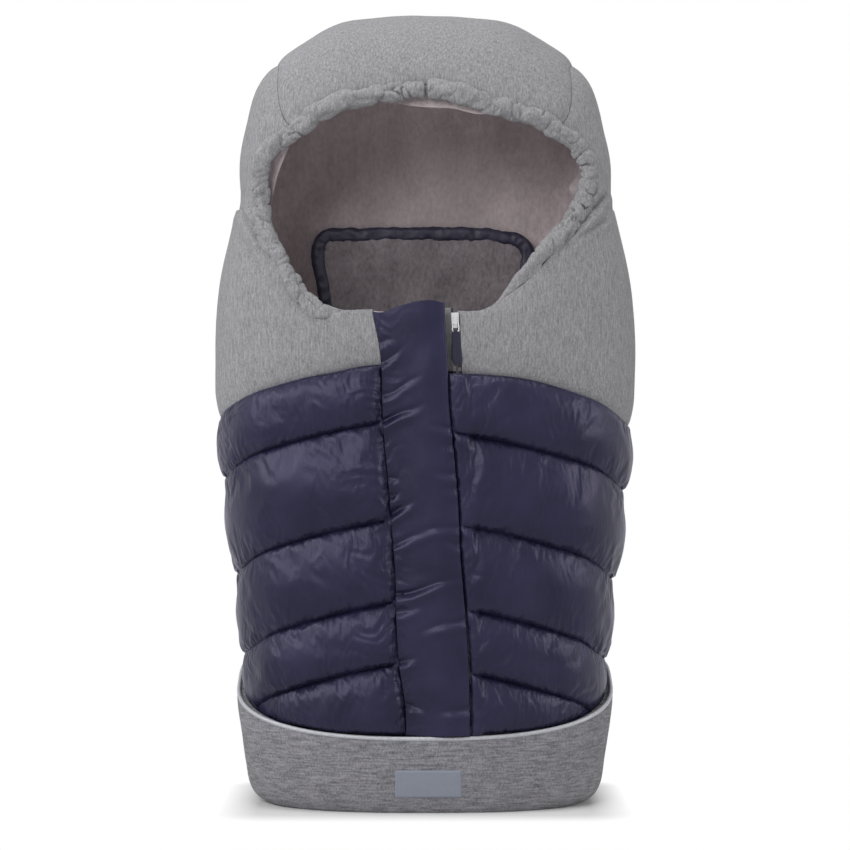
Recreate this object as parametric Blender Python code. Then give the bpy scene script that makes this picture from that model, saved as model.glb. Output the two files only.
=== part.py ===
"""Car seat footmuff: a hooded sleeve for a baby, with two quilted front covers
that a long zip joins, a gathered rim round the face opening, a harness flap
inside and a band round the foot. Metres, +Z up, the front faces -Y, and the
origin lies on the floor under the middle of the body.
"""
import math

import bmesh
import bpy
from mathutils import Matrix, Vector

# Outer size
NECK_HEIGHT = 0.585          # floor to the neck seam, which is the middle of the face opening
HOOD_RISE = 0.195            # neck seam to the top of the hood
HOOD_CORNER = 0.2095         # reach of the hood's round corners from the middle of the opening
CHEST_WIDTH = 0.414
BELLY_WIDTH = 0.396
FOOT_WIDTH = 0.356
NECK_WIDTH = 0.372
CHEST_LEVEL = 0.450
BELLY_LEVEL = 0.300
FOOT_LEVEL = 0.100
CHEST_FRONT = 0.106          # how far the front stands ahead of the side seam
FOOT_FRONT = 0.101
NECK_FRONT = 0.100
CHEST_BACK = 0.080           # how far the back stands behind it
FOOT_BACK = 0.072
NECK_BACK = 0.080
SOLE_TUCK = 0.0285           # how far the sole lies inside the foot on each side

# Layers and gaps
WALL = 0.010                 # padded shell
LINING = 0.003               # fleece
LAYER_GAP = 0.0008
SEAM_GAP = 0.0003            # each side of a seam
NECK_GAP = 0.0003

# Face opening and its gathered rim
OPENING_WIDTH = 0.312
OPENING_ABOVE = 0.115
OPENING_BELOW = 0.104
RIM_RADIUS = 0.010
RIM_END_RADIUS = 0.0015      # where the rim runs out beside the zip
RIM_FULL_X = 0.105
RIM_END_X = 0.055
RIM_END_CLEAR = 0.006        # the panels' edge stays this much wider where the rim thins out
RIM_DEPTH = 0.006            # its middle lies this far under the surface
RIM_GAP = 0.0009
RIM_BORE = 0.0024
ELASTIC_RADIUS = 0.0016

# Front covers: fold lines, seams and quilting
FOLD_X = 0.155
FOLD_STANDOFF = 0.003        # the fold's axis ahead of the puffed surface
YOKE_LEVEL = 0.430
QUILT_LEVELS = (0.140, 0.199, 0.279, 0.371)
SEAM_DROP = 0.056
SEAM_DROP_X = 0.200
PUFF = 0.008
PUFF_REACH = 0.050           # a channel lower than this puffs less
COVER_LIFT = 0.0058          # the covers end this far above the foot band
BACK_SEAM = 0.86             # back seam, as a share of the half width

# Zip and placket
ZIP_TOP = (0.0288, 0.478)    # x and z of the zip's middle line
ZIP_BOTTOM = (0.0460, 0.080)
ZIP_EDGE = 0.0046            # fabric edge to the middle line
PLACKET_TOP_X = -0.043
PLACKET_BOTTOM_X = -0.016
PLACKET_RAISE = 0.0012
EDGE_WALL = 0.003            # the covers are this thin beside the zip
EDGE_FLAT = 0.024
EDGE_FULL = 0.048
TAPE_WIDTH = 0.013
TAPE_THICKNESS = 0.0010
COIL_WIDTH = 0.0025
COIL_THICKNESS = 0.0020
COIL_CLEAR = 0.0013          # coil to the middle line
COIL_DEPTH = EDGE_WALL + 2 * SEAM_GAP + (TAPE_THICKNESS - COIL_THICKNESS) / 2
SLIDER_REST = 0.474
SLIDER_LOW = 0.132
SLIDER_LENGTH = 0.015
SLIDER_WIDTH = 0.0078
SLIDER_PLATE = 0.0012
SLIDER_CLEAR = 0.0004
STOP_LENGTH = 0.004
WIRE_RADIUS = 0.0007
LINK_LENGTH = 0.0095
TAB_LENGTH = 0.030
TAB_WIDTH = 0.0080
TAB_THICKNESS = 0.0028

# Foot band, piping, label and sole
BAND_HEIGHT = 0.073          # at the front
BAND_SLOPE = 0.38            # rise towards the back
BAND_BOTTOM = 0.003
BAND_SEAT = 0.0016           # inner face of the band to the shell
BAND_THICKNESS = 0.0064
PIPING_RADIUS = 0.0019
SOLE_THICKNESS = 0.008
LABEL_WIDTH = 0.064
LABEL_HEIGHT = 0.027
LABEL_MIDDLE = (0.0033, 0.0295)
LABEL_THICKNESS = 0.0008

# Harness flap and slots
FLAP_WIDTH = 0.220
FLAP_BOTTOM = 0.330
FLAP_TOP = 0.571
FLAP_THICKNESS = 0.0095
FLAP_CORNER = 0.024
BINDING_WIDTH = 0.014
STRIP_LENGTH = 0.120
STRIP_HEIGHT = 0.020
STRIP_THICKNESS = 0.0011
SLOT_LENGTH = 0.060
SLOT_HEIGHT = 0.016
SLOT_EDGE = 0.003
SLOT_SPACING = 0.110
SHOULDER_SLOTS = 0.500
CROTCH_SLOT = 0.290

GREY = ((0.310, 0.308, 0.325), 0.90, 0.0)
BAND_GREY = ((0.200, 0.196, 0.215), 0.88, 0.0)
NAVY = ((0.035, 0.035, 0.066), 0.45, 0.0)
FLEECE = ((0.190, 0.165, 0.172), 0.97, 0.0)
PALE = ((0.45, 0.45, 0.49), 0.40, 0.0)
METAL = ((0.62, 0.62, 0.64), 0.28, 1.0)
LABEL_BLUE = ((0.215, 0.240, 0.282), 0.70, 0.0)
DARK = ((0.040, 0.040, 0.050), 0.80, 0.0)

# Mesh counts that neighbouring layers share, so that their faces lie parallel
COVER_COLS = 8
PLACKET_COLS = 3
SIDE_COLS = 7
BACK_COLS = 12
CHANNEL_ROWS = 3
RIM_SIDES = 8


def fresh_scene():
    """Remove what is in the scene and return the part's and the cutters' collections."""
    for old in list(bpy.data.objects):
        bpy.data.objects.remove(old, do_unlink=True)
    part = bpy.data.collections.new("car_seat_footmuff")
    cutters = bpy.data.collections.new("cutters")
    bpy.context.scene.collection.children.link(part)
    bpy.context.scene.collection.children.link(cutters)
    return part, cutters


PART, CUTTERS = fresh_scene()


# Curves and blends

def mix(a, b, share):
    return a + (b - a) * share


def smooth(share):
    share = min(max(share, 0.0), 1.0)
    return share * share * (3 - 2 * share)


def through(stations, at):
    """Value at a place on a smooth curve through (place, value) stations."""
    at = min(max(at, stations[0][0]), stations[-1][0])
    last = len(stations) - 1
    k = 0
    while k < last - 1 and stations[k + 1][0] < at:
        k += 1

    def slope(i):
        a, b = stations[max(i - 1, 0)], stations[min(i + 1, last)]
        return (b[1] - a[1]) / (b[0] - a[0])

    (p, u), (q, v) = stations[k], stations[k + 1]
    h = q - p
    t = (at - p) / h
    rise = (v - u) * t * t * (3 - 2 * t)
    return u + rise + h * t * (1 - t) * ((1 - t) * slope(k) - t * slope(k + 1))


# The body below the neck: level sections, part front and part back of a superellipse

def section(z):
    """Half width, front depth, back depth, front and back exponents at a height."""
    foot, belly, chest, neck = FOOT_WIDTH / 2, BELLY_WIDTH / 2, CHEST_WIDTH / 2, NECK_WIDTH / 2
    half = through([(0, foot - SOLE_TUCK), (0.2 * FOOT_LEVEL, foot - 0.42 * SOLE_TUCK),
                    (0.6 * FOOT_LEVEL, foot - 0.12 * SOLE_TUCK), (FOOT_LEVEL, foot),
                    (mix(FOOT_LEVEL, BELLY_LEVEL, 0.5), mix(foot, belly, 0.42)),
                    (BELLY_LEVEL, belly), (CHEST_LEVEL, chest), (NECK_HEIGHT, neck)], z)
    front_top = CHEST_LEVEL + 0.3 * (NECK_HEIGHT - CHEST_LEVEL)

    def straight(level):
        start = 0.6 * FOOT_LEVEL
        return mix(FOOT_FRONT, CHEST_FRONT, (level - start) / (front_top - start))

    front = through([(0, FOOT_FRONT - 0.42 * SOLE_TUCK), (0.6 * FOOT_LEVEL, FOOT_FRONT),
                     (FOOT_LEVEL, straight(FOOT_LEVEL)), (CHEST_LEVEL, straight(CHEST_LEVEL)),
                     (front_top, CHEST_FRONT),
                     (mix(front_top, NECK_HEIGHT, 0.45), mix(CHEST_FRONT, NECK_FRONT, 0.35)),
                     (NECK_HEIGHT, NECK_FRONT)], z)
    back = through([(0, FOOT_BACK - 0.35 * SOLE_TUCK), (FOOT_LEVEL, FOOT_BACK),
                    (BELLY_LEVEL, CHEST_BACK), (CHEST_LEVEL, CHEST_BACK),
                    (NECK_HEIGHT, NECK_BACK)], z)
    bow = through([(0, 2.5), (FOOT_LEVEL, 2.5), (CHEST_LEVEL, 2.6), (NECK_HEIGHT, 3.0)], z)
    return half, front, back, bow, 4.0


def height_at(share, exponent):
    """The other share of a superellipse's arm, for one share."""
    return (1 - min(share, 0.9995) ** exponent) ** (1 / exponent)


def front_point(x, z, inset):
    half, front, _, bow, _ = section(z)
    return Vector((x, -(front - inset) * height_at(abs(x) / (half - inset), bow), z))


def back_point(x, z, inset):
    half, _, back, _, flat = section(z)
    return Vector((x, (back - inset) * height_at(abs(x) / (half - inset), flat), z))


def ring_point(z, turn, inset):
    """Point on a level section: turn 0 is the right side, -90 degrees the front."""
    half, front, back, bow, flat = section(z)
    power = bow if math.sin(turn) < 0 else flat
    depth = -(front - inset) if math.sin(turn) < 0 else back - inset
    c, s = math.cos(turn), math.sin(turn)
    x = math.copysign(abs(c) ** (2 / power), c) * (half - inset)
    return Vector((x, depth * abs(s) ** (2 / power), z))


# The hood: the same kind of sections, along rays from the middle of the opening

def hood_section(ray):
    """Reach, front depth, back depth and exponents along a ray (0 right, 90 degrees up)."""
    side = min(ray, math.pi - ray)
    side = math.degrees(max(side, 0.0))
    reach = through([(0, NECK_WIDTH / 2), (15, NECK_WIDTH / 2 + 0.17 * (HOOD_CORNER - NECK_WIDTH / 2)),
                     (42, HOOD_CORNER), (62, mix(HOOD_CORNER, HOOD_RISE, 0.21)), (90, HOOD_RISE),
                     (118, mix(HOOD_CORNER, HOOD_RISE, 0.21))], side)
    front = NECK_FRONT - 0.003 * math.sin(math.radians(side))
    return reach, front, NECK_BACK, 3.0, 4.0


def hood_point(ray, reach_at, inset, behind=False):
    """Point of the hood's front or back face on a ray, at a distance from the middle."""
    reach, front, back, bow, flat = hood_section(ray)
    if behind:
        y = (back - inset) * height_at(reach_at / (reach - inset), flat)
    else:
        y = -(front - inset) * height_at(reach_at / (reach - inset), bow)
    return Vector((reach_at * math.cos(ray), y, NECK_HEIGHT + reach_at * math.sin(ray)))


# The face opening

def outline_reach(ray, grow):
    """Distance from the middle of the opening to its outline, grown all round."""
    above = math.sin(ray) >= 0
    tall = (OPENING_ABOVE if above else OPENING_BELOW) + grow
    power = 2.05 if above else 1.85
    wide = OPENING_WIDTH / 2 + grow
    total = (abs(math.cos(ray)) / wide) ** power + (abs(math.sin(ray)) / tall) ** power
    return total ** (-1 / power)


def rim_radius(x):
    return mix(RIM_END_RADIUS, RIM_RADIUS, smooth((abs(x) - RIM_END_X) / (RIM_FULL_X - RIM_END_X)))


def edge_grow(x):
    """How far outside the rim's own line the panels end, so that they clear the rim."""
    return 2 * rim_radius(abs(x) + RIM_END_CLEAR) - RIM_RADIUS + RIM_GAP


def opening_bottom(x):
    """Height of the panels' top edge below the face opening."""
    grow = edge_grow(x)
    return NECK_HEIGHT - (OPENING_BELOW + grow) * height_at(abs(x) / (OPENING_WIDTH / 2 + grow), 1.85)


def opening_side(z):
    """Half width of the panels' edge beside the face opening, below the neck seam."""
    grow = RIM_RADIUS + RIM_GAP
    return (OPENING_WIDTH / 2 + grow) * height_at((NECK_HEIGHT - z) / (OPENING_BELOW + grow), 1.85)


# Seam lines

def foot_line(y):
    """Top of the foot band at a depth."""
    return BAND_HEIGHT + BAND_SLOPE * (y + FOOT_FRONT + BAND_SEAT + BAND_THICKNESS)


def foot_line_front(x):
    return foot_line(front_point(x, FOOT_LEVEL, 0).y)


def seam_drop(x):
    return SEAM_DROP * (min(abs(x), SEAM_DROP_X) / SEAM_DROP_X) ** 1.7


def yoke_seam(x):
    return YOKE_LEVEL - seam_drop(x)


def rising(share, rows, low, high):
    """Height of a row; all pieces have their first rows at the same heights in the foot."""
    levels = (low, 0.2 * FOOT_LEVEL, 0.5 * FOOT_LEVEL)
    row = share * rows
    if row <= 2:
        step = min(int(row), 1)
        return mix(levels[step], levels[step + 1], row - step)
    return mix(levels[2], high, (row - 2) / (rows - 2))


def fold_x(z):
    """Where a cover ends at its side; it draws in where the foot is narrow."""
    return min(FOLD_X, FOLD_X / (FOOT_WIDTH / 2) * section(z)[0])


def zip_x(z):
    return mix(ZIP_BOTTOM[0], ZIP_TOP[0], (z - ZIP_BOTTOM[1]) / (ZIP_TOP[1] - ZIP_BOTTOM[1]))


def placket_x(z):
    return mix(PLACKET_BOTTOM_X, PLACKET_TOP_X, (z - ZIP_BOTTOM[1]) / (ZIP_TOP[1] - ZIP_BOTTOM[1]))


def edge_wall(x, z):
    """Thickness of a cover, thin beside the zip."""
    away = abs(x - zip_x(z))
    return mix(EDGE_WALL, WALL, smooth((away - EDGE_FLAT) / (EDGE_FULL - EDGE_FLAT)))


def channel(share, bottom, x):
    """Height and puff at a share of the way from the foot band to the yoke seam."""
    levels = [bottom]
    for level in QUILT_LEVELS + (YOKE_LEVEL,):
        levels.append(max(level - seam_drop(x), levels[-1] + 0.002))
    step = min(int(share * (len(levels) - 1)), len(levels) - 2)
    q = share * (len(levels) - 1) - step
    low, high = levels[step], levels[step + 1]
    rise = PUFF * min(1.0, (high - low) / PUFF_REACH)
    return mix(low, high, q), rise * max(4 * q * (1 - q), 0.0) ** 0.6


# Building

def finish(thing, look, parent=None, angle=40):
    """Put an object in the part, shade it, and give it its own material and parent."""
    colour, roughness, metallic = look
    paint = bpy.data.materials.new(thing.name)
    paint.use_nodes = True
    shader = paint.node_tree.nodes["Principled BSDF"]
    shader.inputs["Base Color"].default_value = (*colour, 1)
    shader.inputs["Roughness"].default_value = roughness
    shader.inputs["Metallic"].default_value = metallic
    thing.data.materials.clear()
    thing.data.materials.append(paint)
    if thing.name not in PART.objects:
        PART.objects.link(thing)
    if thing.type == "MESH":
        thing.data.shade_smooth()
        thing.data.set_sharp_from_angle(angle=math.radians(angle))
    if parent is not None:
        thing.parent = parent
        thing.matrix_parent_inverse = parent.matrix_world.inverted()
    return thing


def joint_empty(name, place, parent=None, turn=None):
    """An empty on a joint's axis, which carries the pieces that move about it."""
    empty = bpy.data.objects.new(name, None)
    PART.objects.link(empty)
    world = Matrix.Translation(place) @ (turn or Matrix.Identity(4))
    if parent is not None:
        empty.parent = parent
        empty.matrix_parent_inverse = parent.matrix_world.inverted()
    empty.matrix_world = world
    bpy.context.view_layer.update()
    return empty


def slab(name, outer, inner, cols, rows, look, parent=None, angle=40):
    """A solid between two faces, each a point for a share across and a share along."""
    work = bmesh.new()
    bmesh.ops.create_grid(work, x_segments=cols, y_segments=rows, size=0.5)
    across = work.verts.layers.float.new("across")
    along = work.verts.layers.float.new("along")
    for vert in work.verts:
        vert[across] = vert.co.x + 0.5
        vert[along] = vert.co.y + 0.5
        vert.co = outer(vert[across], vert[along])
    bmesh.ops.remove_doubles(work, verts=work.verts, dist=1e-6)
    sheet = work.verts[:] + work.edges[:] + work.faces[:]
    copied = bmesh.ops.extrude_face_region(work, geom=sheet, use_keep_orig=True)["geom"]
    second = {item for item in copied if isinstance(item, bmesh.types.BMVert)}
    for vert in work.verts:
        face = inner if vert in second else outer
        vert.co = face(vert[across], vert[along])
    # The edge strips split the same way on each side of a seam, so that they lie parallel
    for face in list(work.faces):
        first = sorted((v for v in face.verts if v not in second), key=lambda v: v[across] + v[along])
        other = sorted((v for v in face.verts if v in second), key=lambda v: v[across] + v[along])
        if len(first) == 2 and len(other) == 2:
            bmesh.utils.face_split(face, first[0], other[1])
    bmesh.ops.recalc_face_normals(work, faces=work.faces)
    mesh = bpy.data.meshes.new(name)
    work.to_mesh(mesh)
    work.free()
    return finish(bpy.data.objects.new(name, mesh), look, parent, angle)


def wire(name, points, radius, look, parent=None, closed=False, sides=1):
    """A round wire through points."""
    curve = bpy.data.curves.new(name, "CURVE")
    curve.dimensions = "3D"
    curve.bevel_depth = radius
    curve.bevel_resolution = sides
    curve.use_fill_caps = not closed
    spline = curve.splines.new("POLY")
    spline.points.add(len(points) - 1)
    for knot, point in zip(spline.points, points):
        knot.co = (*point, 1)
    spline.use_cyclic_u = closed
    return finish(bpy.data.objects.new(name, curve), look, parent)


def box_mesh(name, low, high, bevel=0.0):
    """A box between two corners as a new mesh object, its edges rounded."""
    work = bmesh.new()
    bmesh.ops.create_cube(work, size=1.0)
    size = Vector(high) - Vector(low)
    middle = (Vector(high) + Vector(low)) / 2
    for vert in work.verts:
        vert.co = Vector(c * s for c, s in zip(vert.co, size)) + middle
    if bevel:
        bmesh.ops.bevel(work, geom=work.edges[:], offset=bevel, segments=2, profile=0.5,
                        affect="EDGES", clamp_overlap=True)
    mesh = bpy.data.meshes.new(name)
    work.to_mesh(mesh)
    work.free()
    return bpy.data.objects.new(name, mesh)


def plate(name, loops, thickness, bevel=0.0):
    """A flat plate as a mesh object: outlines in x and z, half its thickness each way in y."""
    curve = bpy.data.curves.new(name, "CURVE")
    curve.dimensions = "2D"
    curve.fill_mode = "BOTH"
    curve.extrude = thickness / 2 - bevel
    curve.bevel_depth = bevel
    curve.bevel_resolution = 1
    curve.offset = -bevel
    for loop in loops:
        spline = curve.splines.new("POLY")
        spline.points.add(len(loop) - 1)
        for knot, (x, z) in zip(spline.points, loop):
            knot.co = (x, z, 0, 1)
        spline.use_cyclic_u = True
    drawn = bpy.data.objects.new(name + "_outline", curve)
    PART.objects.link(drawn)
    mesh = bpy.data.meshes.new_from_object(drawn.evaluated_get(bpy.context.evaluated_depsgraph_get()))
    work = bmesh.new()
    work.from_mesh(mesh)
    bmesh.ops.remove_doubles(work, verts=work.verts, dist=1e-6)
    bmesh.ops.rotate(work, verts=work.verts, matrix=Matrix.Rotation(math.pi / 2, 3, "X"))
    bmesh.ops.recalc_face_normals(work, faces=work.faces)
    work.to_mesh(mesh)
    work.free()
    bpy.data.objects.remove(drawn, do_unlink=True)
    return bpy.data.objects.new(name, mesh)


def as_cutter(helper, parent=None):
    """Keep a helper object hidden among the cutters."""
    CUTTERS.objects.link(helper)
    helper.hide_render = True
    helper.display_type = "WIRE"
    helper.parent = parent
    return helper


def combine(thing, helper, operation):
    """Cut a piece with a helper object, or join the helper to it."""
    step = thing.modifiers.new(operation.lower(), "BOOLEAN")
    step.operation = operation
    step.object = helper
    step.solver = "EXACT"


def stadium(length, height, steps=5):
    """Outline with round ends, longer in x."""
    points = []
    for end in (1, -1):
        for k in range(steps + 1):
            turn = -math.pi / 2 + math.pi * k / steps + (0 if end > 0 else math.pi)
            points.append((end * (length - height) / 2 + height / 2 * math.cos(turn),
                           height / 2 * math.sin(turn)))
    return points


# Layouts: each turns a share across and a share along into a place

def cover_place(left, s, t, bottom, top):
    """Place on a cover beside the placket or zip: s runs from the fold to that edge."""
    side = -1 if left else 1
    x = side * FOLD_X
    z = mix(bottom(x), top(x), t)
    for _ in range(5):
        fold = side * (FOLD_X - SEAM_GAP)
        edge = placket_x(z) - SEAM_GAP if left else zip_x(z) + ZIP_EDGE
        x = mix(fold, edge, s ** 1.25)
        z = mix(bottom(x), top(x), t)
    return x, z


def placket_place(s, t, bottom, top):
    x = 0.0
    for _ in range(5):
        z = mix(bottom(x), top(x), t)
        x = mix(placket_x(z) + SEAM_GAP, zip_x(z) - ZIP_EDGE, 1 - (1 - s) ** 1.26)
    return x, z


def cover_bottom(x):
    return foot_line_front(x) + COVER_LIFT


def quilt_panel(left, parent):
    """Quilted front panel, its channels puffed between seams that fall outwards."""
    name = "cover_panel_left" if left else "cover_panel_right"

    def place(s, t):
        def level(x):
            return min(channel(t, cover_bottom(x), x)[0], yoke_seam(x) - SEAM_GAP)
        return cover_place(left, s, 0.0, level, level)

    def outer(s, t):
        x, z = place(s, t)
        edge = placket_x(z) if left else zip_x(z) + ZIP_EDGE
        puff = channel(t, cover_bottom(x), x)[1] * smooth(abs(edge - x) / EDGE_FLAT)
        return front_point(x, z, -puff)

    def inner(s, t):
        x, z = place(s, t)
        return front_point(x, z, edge_wall(x, z))

    return slab(name, outer, inner, COVER_COLS, 20, NAVY, parent)


def front_piece(name, place, outset, cols, rows, look, parent):
    """Piece of a cover without channels, from its surface in to the cover's thickness."""
    return slab(name, lambda s, t: front_point(*place(s, t), -outset),
                lambda s, t: front_point(*place(s, t), edge_wall(*place(s, t))),
                cols, rows, look, parent)


def lining_inset(x, z):
    """Depth of a cover's lining, behind the zip tape and the padding."""
    tape = 1 - smooth((abs(x - zip_x(z)) - EDGE_FLAT) / (EDGE_FULL - EDGE_FLAT))
    return edge_wall(x, z) + LAYER_GAP + tape * (TAPE_THICKNESS + 2 * SEAM_GAP)


def cover_lining(left, parent):
    """Fleece behind a whole cover, in the same columns as the pieces before it."""
    def place(s, t):
        if not left:
            return cover_place(False, s, t, cover_bottom, opening_bottom)
        column = s * (COVER_COLS + PLACKET_COLS)
        if column <= COVER_COLS + 0.001:
            return cover_place(True, column / COVER_COLS, t, cover_bottom, opening_bottom)
        return placket_place((column - COVER_COLS) / PLACKET_COLS, t, cover_bottom, opening_bottom)

    def face(depth):
        return lambda s, t: front_point(*place(s, t), lining_inset(*place(s, t)) + depth)

    name = "cover_lining_left" if left else "cover_lining_right"
    cols = COVER_COLS + (PLACKET_COLS if left else 0)
    return slab(name, face(0), face(LINING), cols, 8, FLEECE, parent)


def side_front(z):
    """Half width at which the side pieces begin: the fold, then the face opening's edge."""
    return max(fold_x(z), opening_side(z)) + SEAM_GAP


def side_place(side, s, z, inset):
    """Point round the side of the body, from the fold to the back seam."""
    half, front, back, bow, flat = section(z)
    front_share = side_front(z) / (half - inset)
    back_share = (BACK_SEAM * half + SEAM_GAP) / (half - inset)
    start = -math.acos(min(front_share, 0.995) ** (bow / 2))
    stop = math.acos(min(back_share, 0.995) ** (flat / 2))
    point = ring_point(z, mix(start, stop, s), inset)
    return Vector((side * point.x, point.y, point.z))


def side_x(s, z, inset=0.0):
    """How far out a column of the side stands, which its seams' heights are read from."""
    point = side_place(1, s, z, inset)
    return point.x if point.y < 0 else max(section(z)[0], SEAM_DROP_X)


def yoke_x(s, inset):
    """Where a column of the side meets the yoke seam."""
    z = YOKE_LEVEL - SEAM_DROP / 2
    for _ in range(6):
        x = side_x(s, z, inset)
        z = yoke_seam(x)
    return x


def side_panel(side):
    """Quilted side panel, from the sole up behind the foot band to the yoke seam."""
    name = "side_panel_right" if side > 0 else "side_panel_left"
    rows = 3 + CHANNEL_ROWS * (len(QUILT_LEVELS) + 1)
    hidden = 3 / rows

    def place(s, t, inset):
        bottom = foot_line(side_place(1, s, FOOT_LEVEL, 0).y) + COVER_LIFT
        if t <= hidden:
            return rising(t / hidden, 3, SOLE_THICKNESS + SEAM_GAP, bottom), 0.0
        share = (t - hidden) / (1 - hidden)
        x = mix(side_x(s, FOOT_LEVEL), yoke_x(s, inset), share)
        z, puff = channel(share, bottom, x)
        return min(z, yoke_seam(x) - SEAM_GAP), puff

    def outer(s, t):
        z, puff = place(s, t, 0)
        fade = smooth((1 - s) * 4)
        return side_place(side, s, z, 0) + away(side, s, z) * puff * fade

    def inner(s, t):
        return side_place(side, s, place(s, t, WALL)[0], WALL)

    return slab(name, outer, inner, SIDE_COLS, rows, NAVY)


def away(side, s, z):
    """Direction outward at the side of the body; across the fold it points forward only."""
    step = 1e-4
    low = side_place(side, max(s - step, 0), z, 0)
    high = side_place(side, min(s + step, 1), z, 0)
    run = (high - low).normalized()
    out = Vector((-run.y, run.x, 0)) * -side
    return out.lerp(Vector((0, -1, 0)), 1 - smooth(s * 6)).normalized()


def shoulder(side):
    """Plain side piece from the yoke seam up to the neck seam."""
    def place(s, t, inset):
        low = yoke_seam(yoke_x(s, inset)) + SEAM_GAP
        z = mix(low, NECK_HEIGHT - NECK_GAP, 1 - (1 - t) ** 1.5)
        return side_place(side, s, z, inset)

    name = "shoulder_right" if side > 0 else "shoulder_left"
    return slab(name, lambda s, t: place(s, t, 0), lambda s, t: place(s, t, WALL), SIDE_COLS, 8, GREY)


def side_lining(side):
    def face(depth):
        def point(s, t):
            low = SOLE_THICKNESS + LINING + 3 * SEAM_GAP
            z = rising(t, 12, low, NECK_HEIGHT - NECK_GAP)
            return side_place(side, s, z, WALL + LAYER_GAP + depth)
        return point

    name = "side_lining_right" if side > 0 else "side_lining_left"
    return slab(name, face(0), face(LINING), SIDE_COLS, 12, FLEECE)


def bunched(s):
    """Share across the back, -1 to 1, with its columns closer at the seams."""
    share = 2 * s - 1
    return share * (1.35 - 0.35 * share * share)


def back_place(s, z, inset):
    return back_point(bunched(s) * (BACK_SEAM * section(z)[0] - SEAM_GAP), z, inset)


def foot_front_place(s, t, low, inset):
    """Point on the front below the covers, between the two folds."""
    x = bunched(s) * (FOLD_X - SEAM_GAP)
    z = rising(t, 3, low, foot_line_front(x) + COVER_LIFT - 4.5 * SEAM_GAP)
    return front_point(bunched(s) * (fold_x(z) - SEAM_GAP), z, inset)


def disc_share(s, t):
    """A square's shares as a disc's angle and distance."""
    u, v = 2 * s - 1, 2 * t - 1
    x, y = u * math.sqrt(1 - v * v / 2), v * math.sqrt(1 - u * u / 2)
    return math.atan2(y, x), math.hypot(x, y)


def floor_point(s, t, z, inset):
    """Point on a level plate that fills the body's section."""
    turn, share = disc_share(s, t)
    edge = ring_point(z, turn, inset)
    return Vector((edge.x * share, edge.y * share, z))


# The fixed body: back, sides, foot and linings

def build_back():
    low = SOLE_THICKNESS + SEAM_GAP
    lining_low = SOLE_THICKNESS + LINING + 3 * SEAM_GAP
    high = NECK_HEIGHT - NECK_GAP
    depth = WALL + LAYER_GAP
    rows = 11

    def face(bottom, inset):
        return lambda s, t: back_place(s, rising(t, rows, bottom, high), inset)

    shell = slab("back_shell", face(low, 0), face(low, WALL), BACK_COLS, rows, GREY)
    lining = slab("back_lining", face(lining_low, depth), face(lining_low, depth + LINING),
                  BACK_COLS, rows, FLEECE)
    thickness = depth + LINING + 2 * LAYER_GAP
    places = {"shoulder_slot_left": (-SLOT_SPACING / 2, SHOULDER_SLOTS),
              "shoulder_slot_right": (SLOT_SPACING / 2, SHOULDER_SLOTS),
              "crotch_slot": (0, CROTCH_SLOT)}
    for name, (x, z) in places.items():
        middle = back_point(x, z, (depth + LINING) / 2)
        cutter = as_cutter(plate(name + "_cutter", [stadium(SLOT_LENGTH, SLOT_HEIGHT)], 0.06))
        cutter.location = middle
        combine(shell, cutter, "DIFFERENCE")
        combine(lining, cutter, "DIFFERENCE")
        outer = stadium(SLOT_LENGTH - 2 * SEAM_GAP, SLOT_HEIGHT - 2 * SEAM_GAP)
        inner = stadium(SLOT_LENGTH - 2 * SLOT_EDGE, SLOT_HEIGHT - 2 * SLOT_EDGE)
        binding = plate(name + "_binding", [outer, inner], thickness)
        binding.location = middle
        finish(binding, NAVY)


def build_foot():
    low = SOLE_THICKNESS + SEAM_GAP
    lining_low = SOLE_THICKNESS + LINING + 3 * SEAM_GAP
    depth = WALL + LAYER_GAP
    slab("front_foot_panel", lambda s, t: foot_front_place(s, t, low, 0),
         lambda s, t: foot_front_place(s, t, low, WALL), BACK_COLS, 3, NAVY)
    slab("front_foot_lining", lambda s, t: foot_front_place(s, t, lining_low, depth),
         lambda s, t: foot_front_place(s, t, lining_low, depth + LINING), BACK_COLS, 3,
         FLEECE)
    slab("foot_sole", lambda s, t: floor_point(s, t, SOLE_THICKNESS, SEAM_GAP),
         lambda s, t: floor_point(s, t, 0, SEAM_GAP), 8, 8, BAND_GREY)
    inset = WALL + 3 * LAYER_GAP
    slab("foot_lining", lambda s, t: floor_point(s, t, low + LINING, inset),
         lambda s, t: floor_point(s, t, low, inset), 8, 8, FLEECE)

    def band_point(s, t, outset):
        turn = 2 * math.pi * s
        top = foot_line(ring_point(FOOT_LEVEL, turn, 0).y)
        return ring_point(rising(t, 3, BAND_BOTTOM, top), turn, -outset)

    slab("foot_band", lambda s, t: band_point(s, t, BAND_SEAT + BAND_THICKNESS),
         lambda s, t: band_point(s, t, BAND_SEAT), 48, 3, BAND_GREY)
    path = []
    steps = 60
    for k in range(steps):
        turn = 2 * math.pi * k / steps
        top = foot_line(ring_point(FOOT_LEVEL, turn, 0).y) + PIPING_RADIUS + 2 * SEAM_GAP
        path.append(ring_point(top, turn, -PIPING_RADIUS - 3 * SEAM_GAP))
    wire("band_piping", path, PIPING_RADIUS, PALE, closed=True)

    outset = BAND_SEAT + BAND_THICKNESS + SEAM_GAP
    x, z = LABEL_MIDDLE

    def label_point(s, t, lift):
        return front_point(x + (s - 0.5) * LABEL_WIDTH, z + (t - 0.5) * LABEL_HEIGHT, -outset - lift)

    slab("woven_label", lambda s, t: label_point(s, t, LABEL_THICKNESS),
         lambda s, t: label_point(s, t, 0), 4, 2, LABEL_BLUE)


# The rim round the face opening

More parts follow.
